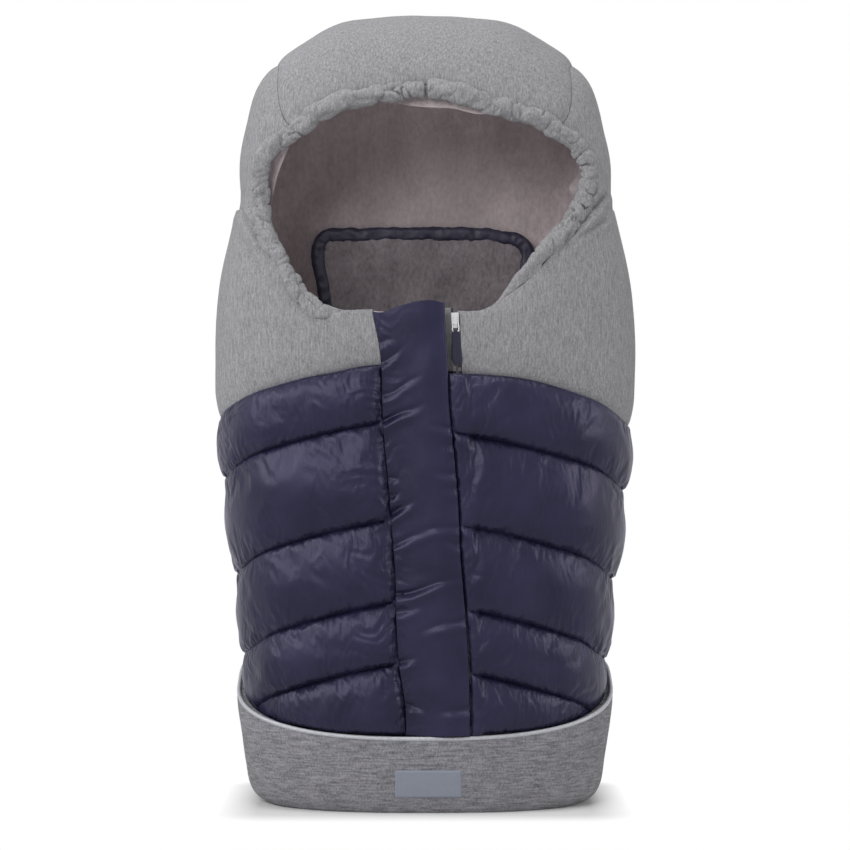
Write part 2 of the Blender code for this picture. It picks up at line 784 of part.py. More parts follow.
def outline_point(ray, grow, inset):
    """Point on the grown outline, at a depth under the surface of hood or body."""
    reach = outline_reach(ray, grow)
    if math.sin(ray) >= 0:
        return hood_point(ray, reach, inset)
    return front_point(reach * math.cos(ray), NECK_HEIGHT + reach * math.sin(ray), inset)


def rim_ring(ray):
    """Middle, outward direction and radius of the rim at a ray."""
    radius = RIM_RADIUS
    if math.sin(ray) < 0:
        radius = rim_radius(outline_reach(ray, 0) * math.cos(ray))
    grow = radius - RIM_RADIUS
    middle = outline_point(ray, grow, RIM_DEPTH)
    step = 1e-3
    run = outline_point(ray + step, grow, RIM_DEPTH) - outline_point(ray - step, grow, RIM_DEPTH)
    if abs(math.sin(ray)) < 0.01:
        run = Vector((0, 0, math.cos(ray)))
    out = Vector((run.z, 0, -run.x)).normalized()
    return middle, out, radius


def rim(name, rays, parent):
    """Gathered tube with a bore for its elastic; each ring lies square to the outline."""
    rings = [rim_ring(ray) for ray in rays]

    def point(s, t, radius_of):
        middle, out, radius = rings[round(t * (len(rings) - 1))]
        turn = 2 * math.pi * s
        return middle + (out * math.cos(turn) + Vector((0, math.sin(turn), 0))) * radius_of(radius)

    return slab(name, lambda s, t: point(s, t, lambda r: r),
                lambda s, t: point(s, t, lambda r: min(RIM_BORE, 0.55 * r)),
                RIM_SIDES, len(rings) - 1, GREY, parent, angle=60)


def elastic(name, rays, parent):
    return wire(name, [rim_ring(ray)[0] for ray in rays], ELASTIC_RADIUS, PALE, parent)


def spread(start, stop, count):
    return [mix(start, stop, k / count) for k in range(count + 1)]


# Covers, zip, slider and puller

def build_cover(left, body):
    side = -1 if left else 1
    quilt_panel(left, body)

    def seam(x):
        return yoke_seam(x) + SEAM_GAP

    front_piece("yoke_left" if left else "yoke_right",
                lambda s, t: cover_place(left, s, t, seam, opening_bottom), 0, COVER_COLS, 5,
                GREY, body)
    if left:
        front_piece("placket", lambda s, t: placket_place(s, t, cover_bottom, opening_bottom),
                    PLACKET_RAISE, PLACKET_COLS, 12, NAVY, body)
    cover_lining(left, body)

    low = -NECK_GAP / (OPENING_WIDTH / 2 - RIM_RADIUS)
    start = math.atan2(-OPENING_BELOW, RIM_END_X) * 0.99
    full = math.atan2(-OPENING_BELOW * 0.75, RIM_FULL_X)
    rays = spread(low, full, 9) + spread(full, start, 5)[1:]
    if left:
        rays = [-math.pi - ray for ray in rays]
    word = "left" if left else "right"
    rim(f"neck_rim_{word}", rays, body)
    elastic(f"neck_elastic_{word}", rays[:10], body)

    def strip(name, near, far, depth, thickness, bottom, top, look, cols=1, rows=1):
        def point(s, t, inset):
            z = mix(bottom, top, t)
            return front_point(zip_x(z) + side * mix(near, far, s), z, inset)
        return slab(name, lambda s, t: point(s, t, depth), lambda s, t: point(s, t, depth + thickness),
                    cols, rows, look, body)

    coil_far = COIL_CLEAR + COIL_WIDTH
    tape_depth = EDGE_WALL + 2 * SEAM_GAP
    tape_low = cover_bottom(ZIP_BOTTOM[0]) + COVER_LIFT / 4
    tape_high = opening_bottom(0) - 3 * SEAM_GAP
    strip(f"zip_tape_{word}", coil_far + SEAM_GAP, coil_far + SEAM_GAP + TAPE_WIDTH, tape_depth,
          TAPE_THICKNESS, tape_low, tape_high, DARK, 1, 10)
    reach = SLIDER_LENGTH / 2 + SLIDER_CLEAR
    if left:
        strip("zip_coil_left", COIL_CLEAR, coil_far, COIL_DEPTH, COIL_THICKNESS,
              SLIDER_LOW - reach + SEAM_GAP, SLIDER_REST + reach - SEAM_GAP, DARK, 1, 10)
        strip("zip_top_stop", COIL_CLEAR, coil_far, COIL_DEPTH, COIL_THICKNESS,
              SLIDER_REST + reach, SLIDER_REST + reach + STOP_LENGTH, METAL)
        strip("zip_box", -COIL_CLEAR, coil_far, COIL_DEPTH, COIL_THICKNESS,
              SLIDER_LOW - reach - 2 * STOP_LENGTH, SLIDER_LOW - reach, METAL)
    else:
        pin_top = SLIDER_LOW + reach + 2.5 * STOP_LENGTH
        strip("zip_pin", COIL_CLEAR, coil_far, COIL_DEPTH, COIL_THICKNESS,
              SLIDER_LOW + reach, pin_top, METAL)
        strip("zip_coil_right", COIL_CLEAR, coil_far, COIL_DEPTH, COIL_THICKNESS,
              pin_top + SEAM_GAP, SLIDER_REST + puller_pivot().z - puller_hang() - LAYER_GAP,
              DARK, 1, 9)


def zip_frame():
    """Place and turn of the slider: x across the zip, y inwards, z up along it."""
    top = front_point(zip_x(SLIDER_REST), SLIDER_REST, 0)
    low = front_point(zip_x(SLIDER_LOW), SLIDER_LOW, 0)
    up = (top - low).normalized()
    across = (Vector((1, 0, 0)) - up * up.x).normalized()
    inward = up.cross(across)
    return top, Matrix((across, inward, up)).transposed().to_4x4()


def local_piece(thing, look, parent):
    """Finish a piece that is drawn in its parent's own axes."""
    finish(thing, look, parent)
    thing.matrix_parent_inverse = Matrix.Identity(4)
    return thing


def build_slider(body):
    """Slider: two plates round the coils, a post between them and a bridge in front."""
    half, length = SLIDER_WIDTH / 2, SLIDER_LENGTH / 2
    front_back = COIL_DEPTH - SLIDER_CLEAR
    rear = COIL_DEPTH + COIL_THICKNESS + SLIDER_CLEAR
    post = COIL_CLEAR - SLIDER_CLEAR
    arch = half * 0.36
    bar_top = front_back - SLIDER_PLATE - 5 * WIRE_RADIUS - SLIDER_CLEAR
    slider = box_mesh("zip_slider", (-half, front_back - SLIDER_PLATE, -length),
                      (half, front_back, length), bevel=0.0004)
    local_piece(slider, METAL, body)
    lap = SLIDER_PLATE / 2
    blocks = {
        "rear_plate": ((-half, rear, -length), (half, rear + SLIDER_PLATE, length)),
        "post": ((-post, front_back - lap, length * 0.45), (post, rear + lap, length * 0.95)),
        "bridge_bar": ((-arch, bar_top - SLIDER_PLATE, -length * 0.6),
                       (arch, bar_top, length * 0.6)),
        "bridge_low": ((-arch, bar_top - lap, -length * 0.6), (arch, front_back - lap, -length * 0.4)),
        "bridge_high": ((-arch, bar_top - lap, length * 0.4), (arch, front_back - lap, length * 0.6)),
    }
    for name, (low, high) in blocks.items():
        combine(slider, as_cutter(box_mesh(name, low, high), body), "UNION")


def puller_pivot():
    """The link's top bar, in the slider's own axes: it rests on the bridge's lower foot."""
    plate_front = COIL_DEPTH - SLIDER_CLEAR - SLIDER_PLATE
    return Vector((0, plate_front - 2.5 * WIRE_RADIUS - SLIDER_CLEAR,
                   -SLIDER_LENGTH * 0.2 + WIRE_RADIUS + SLIDER_CLEAR))


def puller_hang():
    """From the link's top bar to the tab's lower end."""
    return LINK_LENGTH + 3 * WIRE_RADIUS + TAB_LENGTH


def build_puller(body):
    """Wire link through the bridge, and the flat tab that hangs from it."""
    arch = SLIDER_WIDTH / 2 * 0.36
    side = arch + WIRE_RADIUS + SLIDER_CLEAR
    loop = []
    corner = 0.0012
    for x, z, turn in ((side, 0, 0), (-side, 0, 90), (-side, -LINK_LENGTH, 180), (side, -LINK_LENGTH, 270)):
        middle = Vector((x - math.copysign(corner, x), 0, z - corner if z == 0 else z + corner))
        for k in range(4):
            angle = math.radians(turn + 30 * k)
            loop.append(middle + Vector((math.cos(angle), 0, math.sin(angle))) * corner)
    local_piece(wire("puller_link", loop, WIRE_RADIUS, METAL, closed=True), METAL, body)

    neck = arch
    half = TAB_WIDTH / 2
    neck_top = LINK_LENGTH - 3 * WIRE_RADIUS
    neck_low = LINK_LENGTH + 3 * WIRE_RADIUS
    end = puller_hang()
    outline = [(neck, -neck_top), (neck, -neck_low), (half - 0.001, -neck_low), (half, -neck_low - 0.001)]
    for k in range(5):
        angle = math.pi / 8 * k
        outline.append((half - 0.003 * (1 - math.cos(angle)), -end + 0.003 * (1 - math.sin(angle))))
    outline += [(-x, z) for x, z in reversed(outline)]
    tab = local_piece(plate("puller_tab", [outline], TAB_THICKNESS), NAVY, body)
    bore = bpy.data.meshes.new("tab_bore")
    work = bmesh.new()
    bmesh.ops.create_cone(work, cap_ends=True, segments=12, radius1=WIRE_RADIUS + SEAM_GAP,
                          radius2=WIRE_RADIUS + SEAM_GAP, depth=TAB_WIDTH,
                          matrix=Matrix.Translation((0, 0, -LINK_LENGTH))
                          @ Matrix.Rotation(math.pi / 2, 4, "Y"))
    work.to_mesh(bore)
    work.free()
    combine(tab, as_cutter(bpy.data.objects.new("tab_bore", bore), body), "DIFFERENCE")


# The hood

SIDE_RAYS = 6                # the crown's seams lie on this ray from each side
CROWN_RAYS = 9
HOOD_COLS = 2 * SIDE_RAYS + CROWN_RAYS
CROWN_SEAM = math.radians(40)


def station_ray(step):
    """Ray of a column of the hood, counted from the right."""
    if step <= SIDE_RAYS:
        return CROWN_SEAM * step / SIDE_RAYS
    if step <= SIDE_RAYS + CROWN_RAYS:
        return mix(CROWN_SEAM, math.pi - CROWN_SEAM, (step - SIDE_RAYS) / CROWN_RAYS)
    return math.pi - CROWN_SEAM * (HOOD_COLS - step) / SIDE_RAYS


def ray_at(place):
    """Ray at a place among the columns, just clear of the neck seam at both ends."""
    step = min(int(place), HOOD_COLS - 1)
    ray = mix(station_ray(step), station_ray(step + 1), place - step)
    clear = NECK_GAP / (NECK_WIDTH / 2 - 2 * RIM_RADIUS)
    return min(max(ray, clear), math.pi - clear)


def back_seam_reach(ray):
    """Distance to the hood's back seam, along the straight edges between its columns."""
    step = 0
    while step < HOOD_COLS - 1 and station_ray(step + 1) < ray:
        step += 1
    ends = []
    for k in (step, step + 1):
        at = station_ray(k)
        reach = BACK_SEAM * hood_section(at)[0]
        ends.append(Vector((reach * math.cos(at), reach * math.sin(at))))
    run = ends[1] - ends[0]
    heading = Vector((math.cos(ray), math.sin(ray)))
    return ends[0].cross(ends[1]) / heading.cross(run)


def hood_sheet(name, first, last, depth, thickness, look, body):
    """Part of the hood between two rays, from the rim round to the back seam."""
    def point(s, t, inset):
        place = mix(first, last, s)
        gap = 0.0
        if 0 < first and s == 0:
            gap = SEAM_GAP
        if last < HOOD_COLS and s == 1:
            gap = -SEAM_GAP
        ray = ray_at(place) + gap / HOOD_CORNER
        reach, front, back, bow, flat = hood_section(ray)
        near = outline_reach(ray, RIM_RADIUS + RIM_GAP) / (reach - inset)
        far = (BACK_SEAM * reach + SEAM_GAP) / (reach - inset)
        start = -math.acos(min(near, 0.995) ** (bow / 2))
        stop = math.acos(min(far, 0.995) ** (flat / 2))
        turn = mix(start, stop, t)
        power = bow if turn < 0 else flat
        at = (reach - inset) * math.cos(turn) ** (2 / power)
        return hood_point(ray, at, inset, behind=turn >= 0)

    return slab(name, lambda s, t: point(s, t, depth), lambda s, t: point(s, t, depth + thickness),
                last - first, 8, look, body)


def build_hood(body):
    hood_sheet("hood_side_right", 0, SIDE_RAYS, 0, WALL, GREY, body)
    hood_sheet("hood_crown", SIDE_RAYS, HOOD_COLS - SIDE_RAYS, 0, WALL, GREY, body)
    hood_sheet("hood_side_left", HOOD_COLS - SIDE_RAYS, HOOD_COLS, 0, WALL, GREY, body)
    hood_sheet("hood_lining", 0, HOOD_COLS, WALL + LAYER_GAP, LINING, FLEECE, body)

    def back_face(inset):
        def point(s, t):
            u = 2 * s - 1
            x, z = u * math.sqrt(1 - t * t / 2), t * math.sqrt(1 - u * u / 2)
            ray, share = math.atan2(z, x), math.hypot(x, z)
            at = share * (back_seam_reach(ray) - LAYER_GAP)
            place = hood_point(ray, at, inset, behind=True)
            return place + Vector((0, 0, NECK_GAP))
        return point

    slab("hood_back", back_face(0), back_face(WALL), 10, 6, GREY, body)
    inner = WALL + LAYER_GAP
    slab("hood_back_lining", back_face(inner), back_face(inner + LINING), 10, 6, FLEECE, body)
    clear = NECK_GAP / (OPENING_WIDTH / 2 - RIM_RADIUS)
    rays = spread(clear, math.pi - clear, 24)
    rim("hood_rim", rays, body)
    elastic("rim_elastic", rays, body)


# The harness flap inside

def rounded_top(width, top, corner, steps=4):
    """Outline points over a flap's top, from right to left."""
    points = []
    for side, start in ((1, 0), (-1, 90)):
        for k in range(steps + 1):
            angle = math.radians(start + 90 * k / steps)
            points.append((side * (width / 2 - corner) + corner * math.cos(angle),
                           top - corner + corner * math.sin(angle)))
    return points


def flap_back():
    """Depth of the flap's rear face, clear of the lining and of the fastening strips."""
    lining = WALL + LAYER_GAP + LINING
    behind_strips = back_point(STRIP_LENGTH / 2, FLAP_TOP, lining).y - 2 * STRIP_THICKNESS
    corners = min(back_point(FLAP_WIDTH / 2, z, lining).y for z in (FLAP_BOTTOM, FLAP_TOP))
    return min(behind_strips - 4 * SEAM_GAP, corners - LAYER_GAP)


def build_flap(body):
    rear = flap_back()
    tall = FLAP_TOP - FLAP_BOTTOM
    inner_corner = FLAP_CORNER - BINDING_WIDTH
    pad_width = FLAP_WIDTH - 2 * BINDING_WIDTH - 2 * SEAM_GAP
    pad_top = rounded_top(pad_width, tall - BINDING_WIDTH - SEAM_GAP, inner_corner)
    pad = plate("flap_pad", [pad_top + [(-pad_width / 2, 0), (pad_width / 2, 0)]], FLAP_THICKNESS)
    outer = rounded_top(FLAP_WIDTH, tall, FLAP_CORNER)
    inner = rounded_top(FLAP_WIDTH - 2 * BINDING_WIDTH, tall - BINDING_WIDTH, inner_corner)
    legs = FLAP_WIDTH / 2
    inside = legs - BINDING_WIDTH
    u_shape = ([(legs, 0)] + outer + [(-legs, 0), (-inside, 0)] + inner[::-1] + [(inside, 0)])
    binding = plate("flap_binding", [u_shape], FLAP_THICKNESS + 2 * SEAM_GAP)
    for thing, look in ((pad, FLEECE), (binding, NAVY)):
        thing.location = (0, rear - FLAP_THICKNESS / 2, FLAP_BOTTOM)
        thing.data.transform(Matrix.Translation(thing.location))
        thing.location = (0, 0, 0)
        finish(thing, look, body)
    strip_top = FLAP_TOP - BINDING_WIDTH / 2
    low, high = strip_top - STRIP_HEIGHT, strip_top
    hook_rear = rear + 2 * SEAM_GAP + STRIP_THICKNESS
    half = STRIP_LENGTH / 2
    hook = box_mesh("hook_strip", (-half, rear + 2 * SEAM_GAP, low), (half, hook_rear, high))
    finish(hook, DARK, body)
    loop = box_mesh("loop_strip", (-half, hook_rear + SEAM_GAP, low),
                    (half, hook_rear + SEAM_GAP + STRIP_THICKNESS, high))
    finish(loop, DARK)


# Joints and assembly

def fold_axis_point(side, z):
    """Point of a cover's fold axis: straight, and ahead of the quilting all the way."""
    top = yoke_seam(FOLD_X)
    low_y = front_point(FOLD_X, FOOT_LEVEL, -PUFF).y
    top_y = front_point(FOLD_X, top, -PUFF).y
    y = mix(low_y, top_y, (z - FOOT_LEVEL) / (top - FOOT_LEVEL)) - FOLD_STANDOFF
    return Vector((side * FOLD_X, y, z))


def hood_axis_point():
    return Vector((0, NECK_BACK + WALL * 0.3, NECK_HEIGHT))


def flap_axis_point():
    return Vector((0, flap_back() - FLAP_THICKNESS / 2, FLAP_BOTTOM))


def build():
    left = joint_empty("left_cover_fold", fold_axis_point(-1, FOOT_LEVEL))
    right = joint_empty("right_cover_fold", fold_axis_point(1, FOOT_LEVEL))
    hood = joint_empty("hood_fold", hood_axis_point())
    flap = joint_empty("harness_flap_fold", flap_axis_point())
    place, turn = zip_frame()
    slide = joint_empty("zip_slide", place, left, turn)
    pivot = slide.matrix_world @ puller_pivot()
    swing = joint_empty("puller_swing", pivot, slide, turn)
    build_back()
    build_foot()
    for side in (-1, 1):
        side_panel(side)
        shoulder(side)
        side_lining(side)
    build_cover(True, left)
    build_cover(False, right)
    build_slider(slide)
    build_puller(swing)
    build_hood(hood)
    build_flap(flap)


build()
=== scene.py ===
import functools
import math

import bmesh
import bpy
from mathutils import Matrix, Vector, noise
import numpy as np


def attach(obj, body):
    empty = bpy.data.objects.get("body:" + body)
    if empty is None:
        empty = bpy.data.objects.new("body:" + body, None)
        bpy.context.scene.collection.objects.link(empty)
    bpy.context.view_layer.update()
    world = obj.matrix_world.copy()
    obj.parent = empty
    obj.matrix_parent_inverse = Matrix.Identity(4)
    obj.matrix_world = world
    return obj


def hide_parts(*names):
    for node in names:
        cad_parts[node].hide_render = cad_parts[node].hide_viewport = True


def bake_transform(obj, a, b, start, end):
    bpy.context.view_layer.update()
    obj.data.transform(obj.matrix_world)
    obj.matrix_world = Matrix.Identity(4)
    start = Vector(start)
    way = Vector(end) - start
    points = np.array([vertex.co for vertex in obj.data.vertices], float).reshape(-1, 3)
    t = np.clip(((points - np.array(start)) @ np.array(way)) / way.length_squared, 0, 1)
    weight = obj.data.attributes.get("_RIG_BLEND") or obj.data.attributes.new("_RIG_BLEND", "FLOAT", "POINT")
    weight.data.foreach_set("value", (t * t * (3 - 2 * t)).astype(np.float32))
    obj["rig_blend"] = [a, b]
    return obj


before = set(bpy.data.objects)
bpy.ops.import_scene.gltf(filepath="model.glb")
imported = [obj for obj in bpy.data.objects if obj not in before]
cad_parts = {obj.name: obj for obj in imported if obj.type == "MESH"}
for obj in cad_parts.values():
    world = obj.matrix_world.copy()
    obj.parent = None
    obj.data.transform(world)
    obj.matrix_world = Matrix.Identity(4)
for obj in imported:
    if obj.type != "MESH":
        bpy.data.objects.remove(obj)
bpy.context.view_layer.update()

# Camera, lamps and floor. A studio shot from straight ahead, level, at the middle of the muff.
# Soft lamps hang in front and overhead and stand to both sides, the left one the stronger.
scene = bpy.context.scene
scene.view_settings.view_transform = "Standard"
VIEW_DISTANCE = 2.5
VIEW_HEIGHT = 0.390
VIEW_WIDTH = 0.850           # what the picture spans in the plane of the side seams
VIEW_MIDDLE = 0.373
camera = bpy.data.objects.new("camera", bpy.data.cameras.new("camera"))
camera.location = (0, -VIEW_DISTANCE, VIEW_HEIGHT)
camera.rotation_euler = (math.pi / 2, 0, 0)
camera.data.lens = camera.data.sensor_width * VIEW_DISTANCE / VIEW_WIDTH
camera.data.shift_y = (VIEW_MIDDLE - VIEW_HEIGHT) / VIEW_WIDTH
scene.collection.objects.link(camera)
scene.camera = camera


def lamp(name, place, aim, size, power):
    """A soft area lamp at a place, turned towards a point."""
    light = bpy.data.lights.new(name, "AREA")
    light.shape = "DISK"
    light.size = size
    light.energy = power
    thing = bpy.data.objects.new(name, light)
    thing.location = place
    thing.rotation_euler = (Vector(aim) - Vector(place)).to_track_quat("-Z", "Y").to_euler()
    scene.collection.objects.link(thing)


lamp("front_lamp", (-1.0, -2.05, 1.5), (0, 0, 0.46), 1.3, 23)
lamp("left_lamp", (-2.2, -1.0, 1.4), (0, 0, 0.42), 1.3, 26)
lamp("right_lamp", (2.2, -0.7, 1.0), (0, 0, 0.38), 1.2, 18)
lamp("top_lamp", (0.0, -0.3, 2.4), (0, 0, 0.5), 1.3, 20)


class Wire:
    """A value inside a material, so that shader maths is written as plain sums."""

    def __init__(self, tree, out):
        self.tree, self.out = tree, out

    def math(self, operation, *values):
        node = self.tree.nodes.new("ShaderNodeMath")
        node.operation = operation
        for socket, value in zip(node.inputs, values):
            if isinstance(value, Wire):
                self.tree.links.new(value.out, socket)
            else:
                socket.default_value = value
        return Wire(self.tree, node.outputs[0])

    def __add__(self, other):
        return self.math("ADD", self, other)

    def __sub__(self, other):
        return self.math("SUBTRACT", self, other)

    def __rsub__(self, other):
        return self.math("SUBTRACT", other, self)

    def __mul__(self, other):
        return self.math("MULTIPLY", self, other)

    __radd__, __rmul__ = __add__, __mul__

    def __pow__(self, other):
        return self.math("POWER", self, other)

    def largest(self, other):
        return self.math("MAXIMUM", self, other)

    def beyond(self, reach):
        """How far a coordinate lies past a reach on either side of 0."""
        return (self.math("ABSOLUTE", self) - reach).largest(0.0)

    def ramp(self, low, high):
        """0 at low and 1 from high on; a mix takes what falls below 0 as 0."""
        return self.math("MINIMUM", (self - low) * (1 / (high - low)), 1.0)


class Nodes:
    """The nodes of a material or of the world."""

    def __init__(self, owner):
        owner.use_nodes = True
        self.tree = owner.node_tree

    def node(self, kind, settings, sockets, out=0):
        """Any node: its settings first, then the values or links of its sockets."""
        made = self.tree.nodes.new("ShaderNode" + kind)
        for name, value in settings.items():
            setattr(made, name, value)
        for name, value in sockets.items():
            if isinstance(value, Wire):
                self.tree.links.new(value.out, made.inputs[name])
            else:
                made.inputs[name].default_value = value
        return Wire(self.tree, made.outputs[out])

    def sees_white(self):
        """1 on the rays that see a plain white studio: the camera's, mirrored and let through."""
        camera_ray, mirrored, let_through = [self.node("LightPath", {}, {}, "Is %s Ray" % kind)
                                             for kind in ("Camera", "Glossy", "Transmission")]
        return camera_ray.largest(mirrored).largest(let_through)


class Finish(Nodes):
    """A material in the making: one Principled shader and the nodes that feed it."""

    def __init__(self, name, slot, roughness, **fixed):
        self.material = bpy.data.materials.new(name)
        super().__init__(self.material)
        self.slot = slot
        self.shader = self.tree.nodes["Principled BSDF"]
        self.shader.inputs["Roughness"].default_value = roughness
        for socket, value in fixed.items():
            self.shader.inputs[socket.replace("_", " ")].default_value = value
        self.place = self.node("TexCoord", {}, {}, "Object")

    def axis(self, k):
        return self.node("SeparateXYZ", {}, {0: self.place}, k)

    def grain(self, x, y, z, detail):
        """Noise, so many times as dense along each axis."""
        dense = self.node("Mapping", {"vector_type": "POINT"}, {"Vector": self.place, "Scale": (x, y, z)})
        return self.node("TexNoise", {}, {"Vector": dense, "Scale": 1.0, "Detail": detail})

    def tint(self, share, low, high):
        """A colour between two, each a plain colour or a wire."""
        low, high = [(*c, 1) if isinstance(c, tuple) else c for c in (low, high)]
        return self.node("Mix", {"data_type": "RGBA"}, {0: share, 6: low, 7: high}, 2)

    def feed(self, **values):
        for socket, value in values.items():
            self.tree.links.new(value.out, self.shader.inputs[socket.replace("_", " ")])

    def relief(self, height, depth):
        """Raise the surface by up to a depth in metres."""
        self.feed(Normal=self.node("Bump", {}, {"Height": height, "Distance": depth, "Strength": 1.0}))


def make_object(name, work):
    """An object of the scene from a finished bmesh."""
    mesh = bpy.data.meshes.new(name)
    work.to_mesh(mesh)
    work.free()
    thing = bpy.data.objects.new(name, mesh)
    scene.collection.objects.link(thing)
    return thing


FLOOR_HALF = 3.0
FOOT_HALF = (0.150, 0.085)   # half the flat of the foot, whose middle lies a little in front of 0
FOOT_FORWARD = 0.01
SHADOW_START = 0.012
SHADOW_REACH = 0.05          # how far from the foot the floor takes its shadow
floor_work = bmesh.new()
bmesh.ops.create_grid(floor_work, x_segments=1, y_segments=1, size=FLOOR_HALF)
floor = make_object("floor", floor_work)
paper = Finish("white_floor", None, 0.9, Base_Color=(0.80, 0.80, 0.80, 1))
from_side = paper.axis(0).beyond(FOOT_HALF[0])
from_front = (paper.axis(1) + FOOT_FORWARD).beyond(FOOT_HALF[1])
away = (from_side * from_side + from_front * from_front) ** 0.5
plain = paper.node("Emission", {}, {"Color": (1, 1, 1, 1), "Strength": 1.0})
lit = Wire(paper.tree, paper.shader.outputs[0])
blend_in = paper.node("MixShader", {}, {0: paper.sees_white() * away.ramp(SHADOW_START, SHADOW_REACH), 1: lit,
                                        2: plain})
paper.tree.links.new(blend_in.out, paper.tree.nodes["Material Output"].inputs["Surface"])
floor.data.materials.append(paper.material)

AMBIENT = 0.11
sky = bpy.data.worlds.new("studio")
scene.world = sky
air = Nodes(sky)
background = air.tree.nodes["Background"]
air.tree.links.new((air.sees_white() * (1 - AMBIENT) + AMBIENT).out, background.inputs["Strength"])
background.inputs["Color"].default_value = (1, 1, 1, 1)


# The body's outline, and the quilted fronts. Navy satin over wadding, in five channels
# that fall towards the sides; each front runs from its zip edge round to the back seam,
# and bends at the side when the cover is folded open.
NECK = 0.585
OUTLINE = ((0, 0.1495), (0.020, 0.1660), (0.060, 0.1740), (0.100, 0.1770), (0.118, 0.1785), (0.138, 0.1800),
           (0.178, 0.1835), (0.218, 0.1875), (0.258, 0.1940), (0.298, 0.1975), (0.338, 0.2025),
           (0.378, 0.2050), (0.418, 0.2065), (0.458, 0.2070), (0.498, 0.2045), (0.534, 0.1985),
           (0.558, 0.1930), (0.582, 0.1870), (0.594, 0.1840), (0.618, 0.1845), (0.642, 0.1825),
           (0.666, 0.1775), (0.690, 0.1730), (0.702, 0.1700), (0.714, 0.1645), (0.726, 0.1555),
           (0.738, 0.1435), (0.748, 0.1280), (0.756, 0.1145), (0.764, 0.1030), (0.772, 0.0855),
           (0.776, 0.0710), (0.780, 0.0300))
FRONT_DEPTH = ((0, 0.089), (0.06, 0.101), (0.10, 0.1016), (0.45, 0.1055), (0.49, 0.106), (0.533, 0.1039),
               (0.585, 0.100))
BACK_DEPTH = ((0, 0.062), (0.10, 0.072), (0.30, 0.080), (0.585, 0.080))
FRONT_BOW = ((0, 2.5), (0.10, 2.5), (0.45, 2.6), (0.585, 3.0))
BACK_BOW = 4.0
BACK_SEAM = 0.86             # the back seam, as a share of the half width
LEVEL_STEP = 0.010
RING_STEPS = 80
RING_FINE = 200              # points along a section before they are spaced evenly
TANGENT = 0.012              # share of the way round over which a direction is taken


def smooth(share):
    share = min(max(share, 0.0), 1.0)
    return share * share * (3 - 2 * share)


def mix(a, b, share):
    return a + (b - a) * share


def through(stations, at):
    """Value at a place on a smooth curve through (place, value) stations."""
    at = min(max(at, stations[0][0]), stations[-1][0])
    k = 0
    while k < len(stations) - 2 and stations[k + 1][0] < at:
        k += 1
    (p, u), (q, v) = stations[k], stations[k + 1]
    before, after = stations[max(k - 1, 0)], stations[min(k + 2, len(stations) - 1)]
    first, last = (v - before[1]) / (q - before[0]), (after[1] - u) / (after[0] - p)
    t = (at - p) / (q - p)
    return u + (v - u) * t * t * (3 - 2 * t) + (q - p) * t * (1 - t) * ((1 - t) * first - t * last)


def even_ring(half, front, back, bow):
    """Half a section, evenly spaced from the front middle to the back middle."""
    points = []
    for k in range(RING_FINE + 1):
        turn = math.pi * (k / RING_FINE - 0.5)
        power, depth = (bow, front) if turn < 0 else (BACK_BOW, back)
        c, s = math.cos(turn), math.sin(turn)
        points.append((half * max(c, 0.0) ** (2 / power), math.copysign(depth * abs(s) ** (2 / power), s)))
    lengths = [0.0]
    for a, b in zip(points, points[1:]):
        lengths.append(lengths[-1] + math.dist(a, b))
    even, k = [], 0
    for step in range(RING_STEPS + 1):
        goal = lengths[-1] * step / RING_STEPS
        while k < len(points) - 2 and lengths[k + 1] < goal:
            k += 1
        share = (goal - lengths[k]) / (lengths[k + 1] - lengths[k])
        even.append((mix(points[k][0], points[k + 1][0], share), mix(points[k][1], points[k + 1][1], share)))
    return even


def section_ring(z):
    return even_ring(*[through(stations, z) for stations in (OUTLINE, FRONT_DEPTH, BACK_DEPTH, FRONT_BOW)])


RINGS = [section_ring(k * LEVEL_STEP) for k in range(int(NECK / LEVEL_STEP) + 2)]


def read_lattice(rings, share, level):
    """x and y between the points of even rings."""
    level = min(max(level, 0.0), len(rings) - 1.001)
    k = int(level)
    column = share * RING_STEPS
    j = min(max(int(column), 0), RING_STEPS - 1)
    u, v = level - k, column - j
    (ax, ay), (bx, by) = rings[k][j], rings[k][j + 1]
    (cx, cy), (dx, dy) = rings[k + 1][j], rings[k + 1][j + 1]
    low_x, low_y = ax + (bx - ax) * v, ay + (by - ay) * v
    return low_x + (cx + (dx - cx) * v - low_x) * u, low_y + (cy + (dy - cy) * v - low_y) * u


def ring_place(share, z):
    """x and y at a share of the way round from the front middle to the back middle."""
    return read_lattice(RINGS, share, z / LEVEL_STEP)


def lattice_skin(rings, share, level, out):
    """x and y on a skin read from even rings, moved straight out of it."""
    x, y = read_lattice(rings, share, level)
    a = read_lattice(rings, max(share - TANGENT, 0.0), level)
    b = read_lattice(rings, min(share + TANGENT, 1.0), level)
    along = Vector((b[0] - a[0], b[1] - a[1])).normalized()
    return x + out * along.y, y - out * along.x


def body_skin(share, z, out, side=1):
    """Point on one side of the body, moved straight out of its surface."""
    x, y = lattice_skin(RINGS, share, z / LEVEL_STEP, out)
    return Vector((math.copysign(1, side) * x, y, z))


def halved(low, high, rounds, short):
    """Place in a range where a test stops holding, found by halving."""
    for _ in range(rounds):
        middle = (low + high) / 2
        if short(middle):
            low = middle
        else:
            high = middle
    return (low + high) / 2


def share_at(x, z, behind=False):
    """The share of the way round at which the section is so wide, in front or behind."""
    low, high = (1.0, 0.6) if behind else (0.0, 0.52)
    return halved(low, high, 12, lambda share: ring_place(share, z)[0] < x)


def stand_in(rule, step, count):
    """A quick stand-in for a rule: its values at even steps, read between."""
    values = [rule(k * step) for k in range(count)]

    def read(at):
        level = min(max(at / step, 0.0), count - 1.001)
        return mix(values[int(level)], values[int(level) + 1], level - int(level))
    return read


